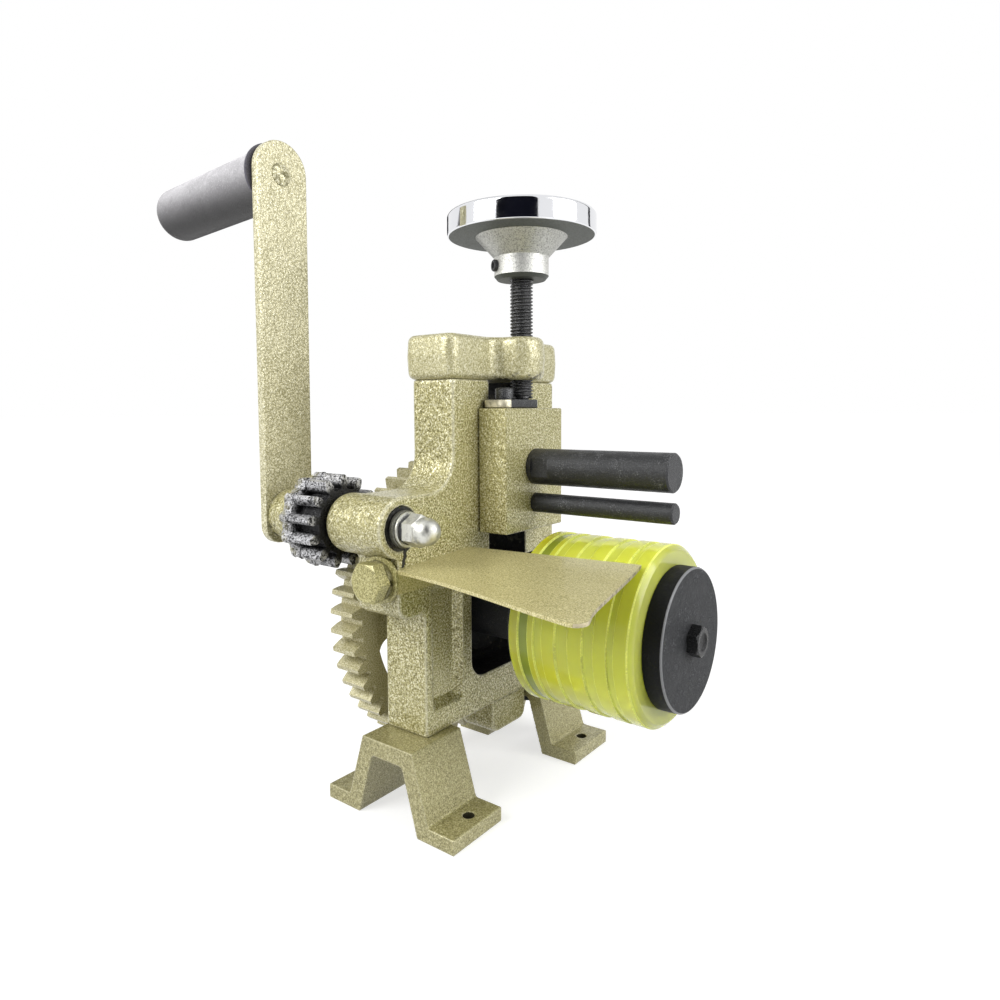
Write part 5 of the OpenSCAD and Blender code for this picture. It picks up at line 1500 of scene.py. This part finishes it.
@dataclass
class Crank(Assembly):
    """The pinion shaft with its pinion, hub, arm, grip and front nut."""

    body: str = "crank"
    arm_rear: float = -85.1
    arm_front: float = -80.1
    arm_top: float = 328.4
    arm_half: float = 14.15
    tilt: float = math.radians(2.75)
    grip_rise: float = 170.3
    grip_r: float = 14.5
    grip_end: float = 93.2

    def build(self) -> None:
        """Models the crank's pieces."""
        self.pinion()
        Paint.node("pinion_key", Slot.bright_steel.value)
        self.softened("pinion_axle", "pinion_shaft", Slot.bright_steel, 0.3, finish=FINE)
        around = ((-80.5, -96.0, 126.0), (-63.0, -66.0, 138.0))
        hub = Hammertone("hammertone_hub", lump=0.4, face_lump=0.3, smudged=(around,))
        self.softened("arm_hub", "crank_hub", Slot.hammertone, 0.4, finish=hub)
        self.arm()
        self.front_nut()
        self.grip()

    def pinion(self) -> None:
        """Softens the pinion's teeth, and packs grease and filings round its rear half."""
        place = (0, PINION_Y, PINION_Z)
        teeth = make.copy_of("pinion_teeth", "pinion")
        make.soften(teeth, 0.25, 2, 28)
        ends = [(0, -64.5), (15.8, -64.5), (24.5, -57.2), (24.5, -37.0), (0, -37.0)]
        make.carve(teeth, make.turned("ends", ends, place, Axis.X, 72), "INTERSECT")
        self.add(teeth, Slot.greased_steel, ["pinion"])
        pack = make.copy_of("pinion_pack", "pinion")
        swell = pack.modifiers.new("swell", "DISPLACE")
        swell.strength = 0.75 * MM
        swell.mid_level = 0
        make.apply(pack, swell)
        swollen = [(16.0, -63.4), (19.4, -61.0), (21.4, -56.5), (20.6, -52.6)]
        fill = [(8, -63.4), *swollen, (8, -52.6), (8, -63.4)]
        make.join(pack, make.turned("fill", fill, place, Axis.X, 72))
        make.cast(pack, 0.5, 1)
        crown = [(7.5, -63.8), (15.6, -63.8), (24.5, -56.4), (24.5, -52.4), (7.5, -52.4), (7.5, -63.8)]
        make.carve(pack, make.turned("crown", crown, place, Axis.X, 72), "INTERSECT")
        lumps = bpy.data.textures.new("lumps", "CLOUDS")
        lumps.noise_scale = 3.2 * MM
        lumps.noise_depth = 3
        rough = pack.modifiers.new("rough", "DISPLACE")
        rough.texture = lumps
        rough.texture_coords = "LOCAL"
        rough.strength = 1.6 * MM
        rough.mid_level = 0.6
        make.apply(pack, rough)
        self.add(pack, Slot.greased_steel, [], smooth=60)

    def arm(self) -> None:
        """Models the flat arm, round at its top and square with round corners at its foot."""
        y, h = PINION_Y, self.arm_half
        low, top, r = PINION_Z - h, self.arm_top, 9
        outline = [
            *arc((y + 0.9, top - h - 0.75), h + 0.75, 0, 180, 20),
            *arc((y - h + r, low + r), r, 180, 270, 7),
            *arc((y + h - r + 0.6, low + r), r, 270, 360, 7),
        ]
        bar = make.plate("arm_bar", outline, self.arm_rear, self.arm_front)
        make.soften(bar, 0.9, 2, clamp=False)
        finish = Hammertone(
            "hammertone_arm", srgb("F3F0DA"), srgb("D3CDA8"), srgb("8A8458"), flake=1500, pebble=780,
            lump=0.25, face_lump=0.25, contrast=0.8, outline=0.75,
        )
        self.add(bar, Slot.hammertone, ["crank_arm"], finish=finish)

    def grip(self) -> None:
        """Models the riveted spindle, the ring and the grip on its tilted axis."""
        way = Vector((-math.cos(self.tilt), 0, -math.sin(self.tilt)))
        start = (self.arm_rear, PINION_Y, PINION_Z + self.grip_rise)
        head = [(0, -5.6), (2.0, -6.3), (4.2, -5.9), (5.6, -5.2), (5.9, -4.6), (5.0, -4.0)]
        end = [(5.0, 86.0), (8.0, 86.0), (8.0, 90.0), (7.4, 90.6), (0, 90.6)]
        spindle = make.turned("spindle", [*head, *end], start, way, 48)
        self.add(spindle, Slot.bright_steel, ["grip_spindle"])
        lumps = Hammertone(
            "hammertone_rivet", srgb("EEEBD2"), srgb("C6C098"), pebble=300, lump=1.0, face_lump=1.0,
            outline=0.8,
        )
        limit = spot(self.arm_front - 0.5, 0, 0).x
        Paint.part(spindle, lumps, lambda c, n: c.x > limit)
        ring = [(5.1, 1.1), (15.9, 1.1), (16.4, 1.4), (16.4, 2.2), (15.9, 2.5), (5.1, 2.5), (5.1, 1.1)]
        self.add(make.turned("grip_disc", ring, start, way, 72), Slot.grip_ring, ["grip_washer"])
        bore, low, r, end, rounding = 5.15, 2.8, self.grip_r, self.grip_end, 5.5
        body = [
            (bore, low), (r - 0.8, low), (r, low + 0.8),
            *[(reach, h) for h, reach in arc((end - rounding, r - rounding), rounding, 90, 0, 8)],
            (8.6, end), (8.5, 86.4), (bore, 86.2), (bore, low),
        ]
        self.add(make.turned("grip_body", body, start, way, 96), Slot.grip_plastic, ["grip"], "grip")

    def front_nut(self) -> None:
        """Models the spacer, the washers and the domed nut on the shaft's front end."""
        y, z = PINION_Y, PINION_Z
        spacer = make.washer("thrust_ring", 5.0, 8.5, 2.7, (0.35, y, z), Axis.X)
        dull = TurnedSteel("spacer_steel", (0, y, z), (1, 2), srgb("77776F"), 0.4, 2600, 0.05, 0.8)
        self.add(spacer, Slot.black_oxide, ["nut_spacer"], finish=dull)
        disc = make.washer("nut_disc", 4.2, 8.0, 1.5, (3.15, y, z), Axis.X)
        self.add(disc, Slot.zinc_plate, ["nut_washer"])
        self.softened("nut_spring", "nut_spring_washer", Slot.black_oxide, 0.2)
        seat, r = (6.2, y, z), 6.2
        nut = make.hexagon("dome_nut", 13, 6.5, seat, Axis.X, Axis.Z, 0.8)
        dome = [(0, 2), (r, 2), (r, 8.2), *[(r, h) for h, r in arc((8.8, 0), r, 90, 0, 12)]]
        make.carve(nut, make.turned("dome", dome, seat, Axis.X, 64), "UNION")
        self.add(nut, Slot.zinc_plate, ["acorn_nut"], smooth=25)


# The studio


@dataclass
class Studio:
    """The white room, its lamps and the camera."""

    camera_at: Point = (237.11, -300.81, 193.65)
    azimuth: float = 37.894
    pitch: float = 4.1485
    roll: float = -0.3421
    lens: float = 26.0039
    shift: Pair = (0.01638, -0.03659)
    middle: Point = (0.02, 0.0, 0.14)
    room: float = 0.48
    paint: float = 0.5

    def build(self) -> None:
        """Sets up world, floor, lamps, cards and camera."""
        self.world()
        self.floor()
        self.lamp("key_lamp", (-0.35, -0.95, 0.8), 12.0, 0.7)
        self.lamp("side_lamp", (1.1, 0.25, 0.7), 10.5, 0.8)
        self.card("card_front", -61.5, 61)
        self.card("card_right", 66, 6)
        self.card("card_rear", 149, 14)
        self.camera()
        bpy.context.scene.view_settings.view_transform = "Standard"

    def seen(self, tree: bpy.types.NodeTree) -> Socket:
        """A socket that is 1 where a camera, glossy or transmission ray sees the room."""
        path = tree.nodes.new("ShaderNodeLightPath")
        total = path.outputs["Is Camera Ray"]
        for name in ("Is Glossy Ray", "Is Transmission Ray"):
            node = tree.nodes.new("ShaderNodeMath")
            node.operation = "MAXIMUM"
            tree.links.new(total, node.inputs[0])
            tree.links.new(path.outputs[name], node.inputs[1])
            total = node.outputs[0]
        return total

    def world(self) -> None:
        """A pale room that the camera sees as white."""
        world = bpy.data.worlds.new("studio")
        bpy.context.scene.world = world
        world.use_nodes = True
        tree = world.node_tree
        back = tree.nodes["Background"]
        back.inputs["Color"].default_value = (1, 1, 1, 1)
        level = tree.nodes.new("ShaderNodeMapRange")
        level.inputs["To Min"].default_value = self.room
        level.inputs["To Max"].default_value = 1.0
        tree.links.new(self.seen(tree), level.inputs["Value"])
        tree.links.new(level.outputs["Result"], back.inputs["Strength"])

    def floor(self) -> None:
        """A pale floor that keeps the machine's shadow and fades into the white room."""
        make.clear()
        bpy.ops.mesh.primitive_plane_add(size=60, location=(0, 0, -0.0002))
        floor = bpy.context.active_object
        floor.name = "floor"
        s = Shader("floor_paint")
        s.set(Base_Color=(self.paint, self.paint, self.paint), Roughness=0.9, Specular_IOR_Level=0.0)
        s.surface.inputs["Emission Color"].default_value = (1, 1, 1, 1)
        far = s.ramp(s.reach(spot(0, 0, 0), (0, 1)), 0.25, 1.2, 0.66, 1.02 - self.paint * self.room)
        s.set(Emission_Strength=s.times(self.seen(s.tree), far))
        floor.data.materials.append(s.material)

    def card(self, name: str, bearing: float, width: float) -> None:
        """Stands a dark card around the machine that only its polished metal reflects.

        Args:
            name: the card's name.
            bearing: the way from the handwheel to the card, in degrees from +X.
            width: the angle that it covers, in degrees.
        """
        away, high, tall = 1.25, 1.5, 3.0
        turn = math.radians(bearing)
        make.clear()
        bpy.ops.mesh.primitive_plane_add(size=1, location=(0, 0, 0))
        card = bpy.context.active_object
        card.name = name
        wide = 2 * away * math.tan(math.radians(width / 2))
        place = Vector((0.02 + away * math.cos(turn), 0.01 + away * math.sin(turn), high))
        stand = Matrix.Rotation(turn, 4, "Z") @ Matrix.Rotation(math.pi / 2, 4, "Y")
        card.matrix_world = Matrix.Translation(place) @ stand @ Matrix.Diagonal((tall, wide, 1, 1))
        make.settle()
        s = Shader(name + "_paint")
        s.set(Base_Color=srgb("15161F"), Roughness=1.0, Specular_IOR_Level=0.0)
        card.data.materials.append(s.material)
        card.visible_camera = False
        card.visible_diffuse = False
        card.visible_transmission = False
        card.visible_shadow = False

    def lamp(self, name: str, place: Point, power: float, size: float) -> None:
        """Adds a soft square lamp that looks at the machine's middle."""
        data = bpy.data.lights.new(name, "AREA")
        data.energy = power
        data.size = size
        lamp = bpy.data.objects.new(name, data)
        bpy.context.scene.collection.objects.link(lamp)
        lamp.location = place
        ahead = Vector(self.middle) - lamp.location
        lamp.rotation_euler = ahead.to_track_quat("-Z", "Y").to_euler()

    def camera(self) -> None:
        """Places the camera at the photograph's angle."""
        az, pitch, roll = (math.radians(v) for v in (self.azimuth, self.pitch, self.roll))
        ahead = Vector((-math.sin(az) * math.cos(pitch), math.cos(az) * math.cos(pitch), -math.sin(pitch)))
        right = ahead.cross(Vector((0, 0, 1))).normalized()
        up = right.cross(ahead)
        side = right * math.cos(roll) + up * math.sin(roll)
        top = up * math.cos(roll) - right * math.sin(roll)
        data = bpy.data.cameras.new("camera")
        camera = bpy.data.objects.new("camera", data)
        bpy.context.scene.collection.objects.link(camera)
        turn = Matrix((side, top, -ahead)).transposed().to_4x4()
        camera.matrix_world = Matrix.Translation(Vector(self.camera_at) * MM) @ turn
        data.lens = self.lens
        data.sensor_width = 36
        data.shift_x, data.shift_y = self.shift
        bpy.context.scene.camera = camera


def main() -> None:
    """Builds the machine and its studio."""
    logging.basicConfig(level=logging.INFO, format="%(name)s: %(message)s")
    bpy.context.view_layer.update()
    for group in (Studio, Casting, WorkTable, SlidingBlock, PressureScrew, Roller, Crank):
        group().build()
        log.info("%s is done", group.__name__)


if __name__ == "__main__":
    main()
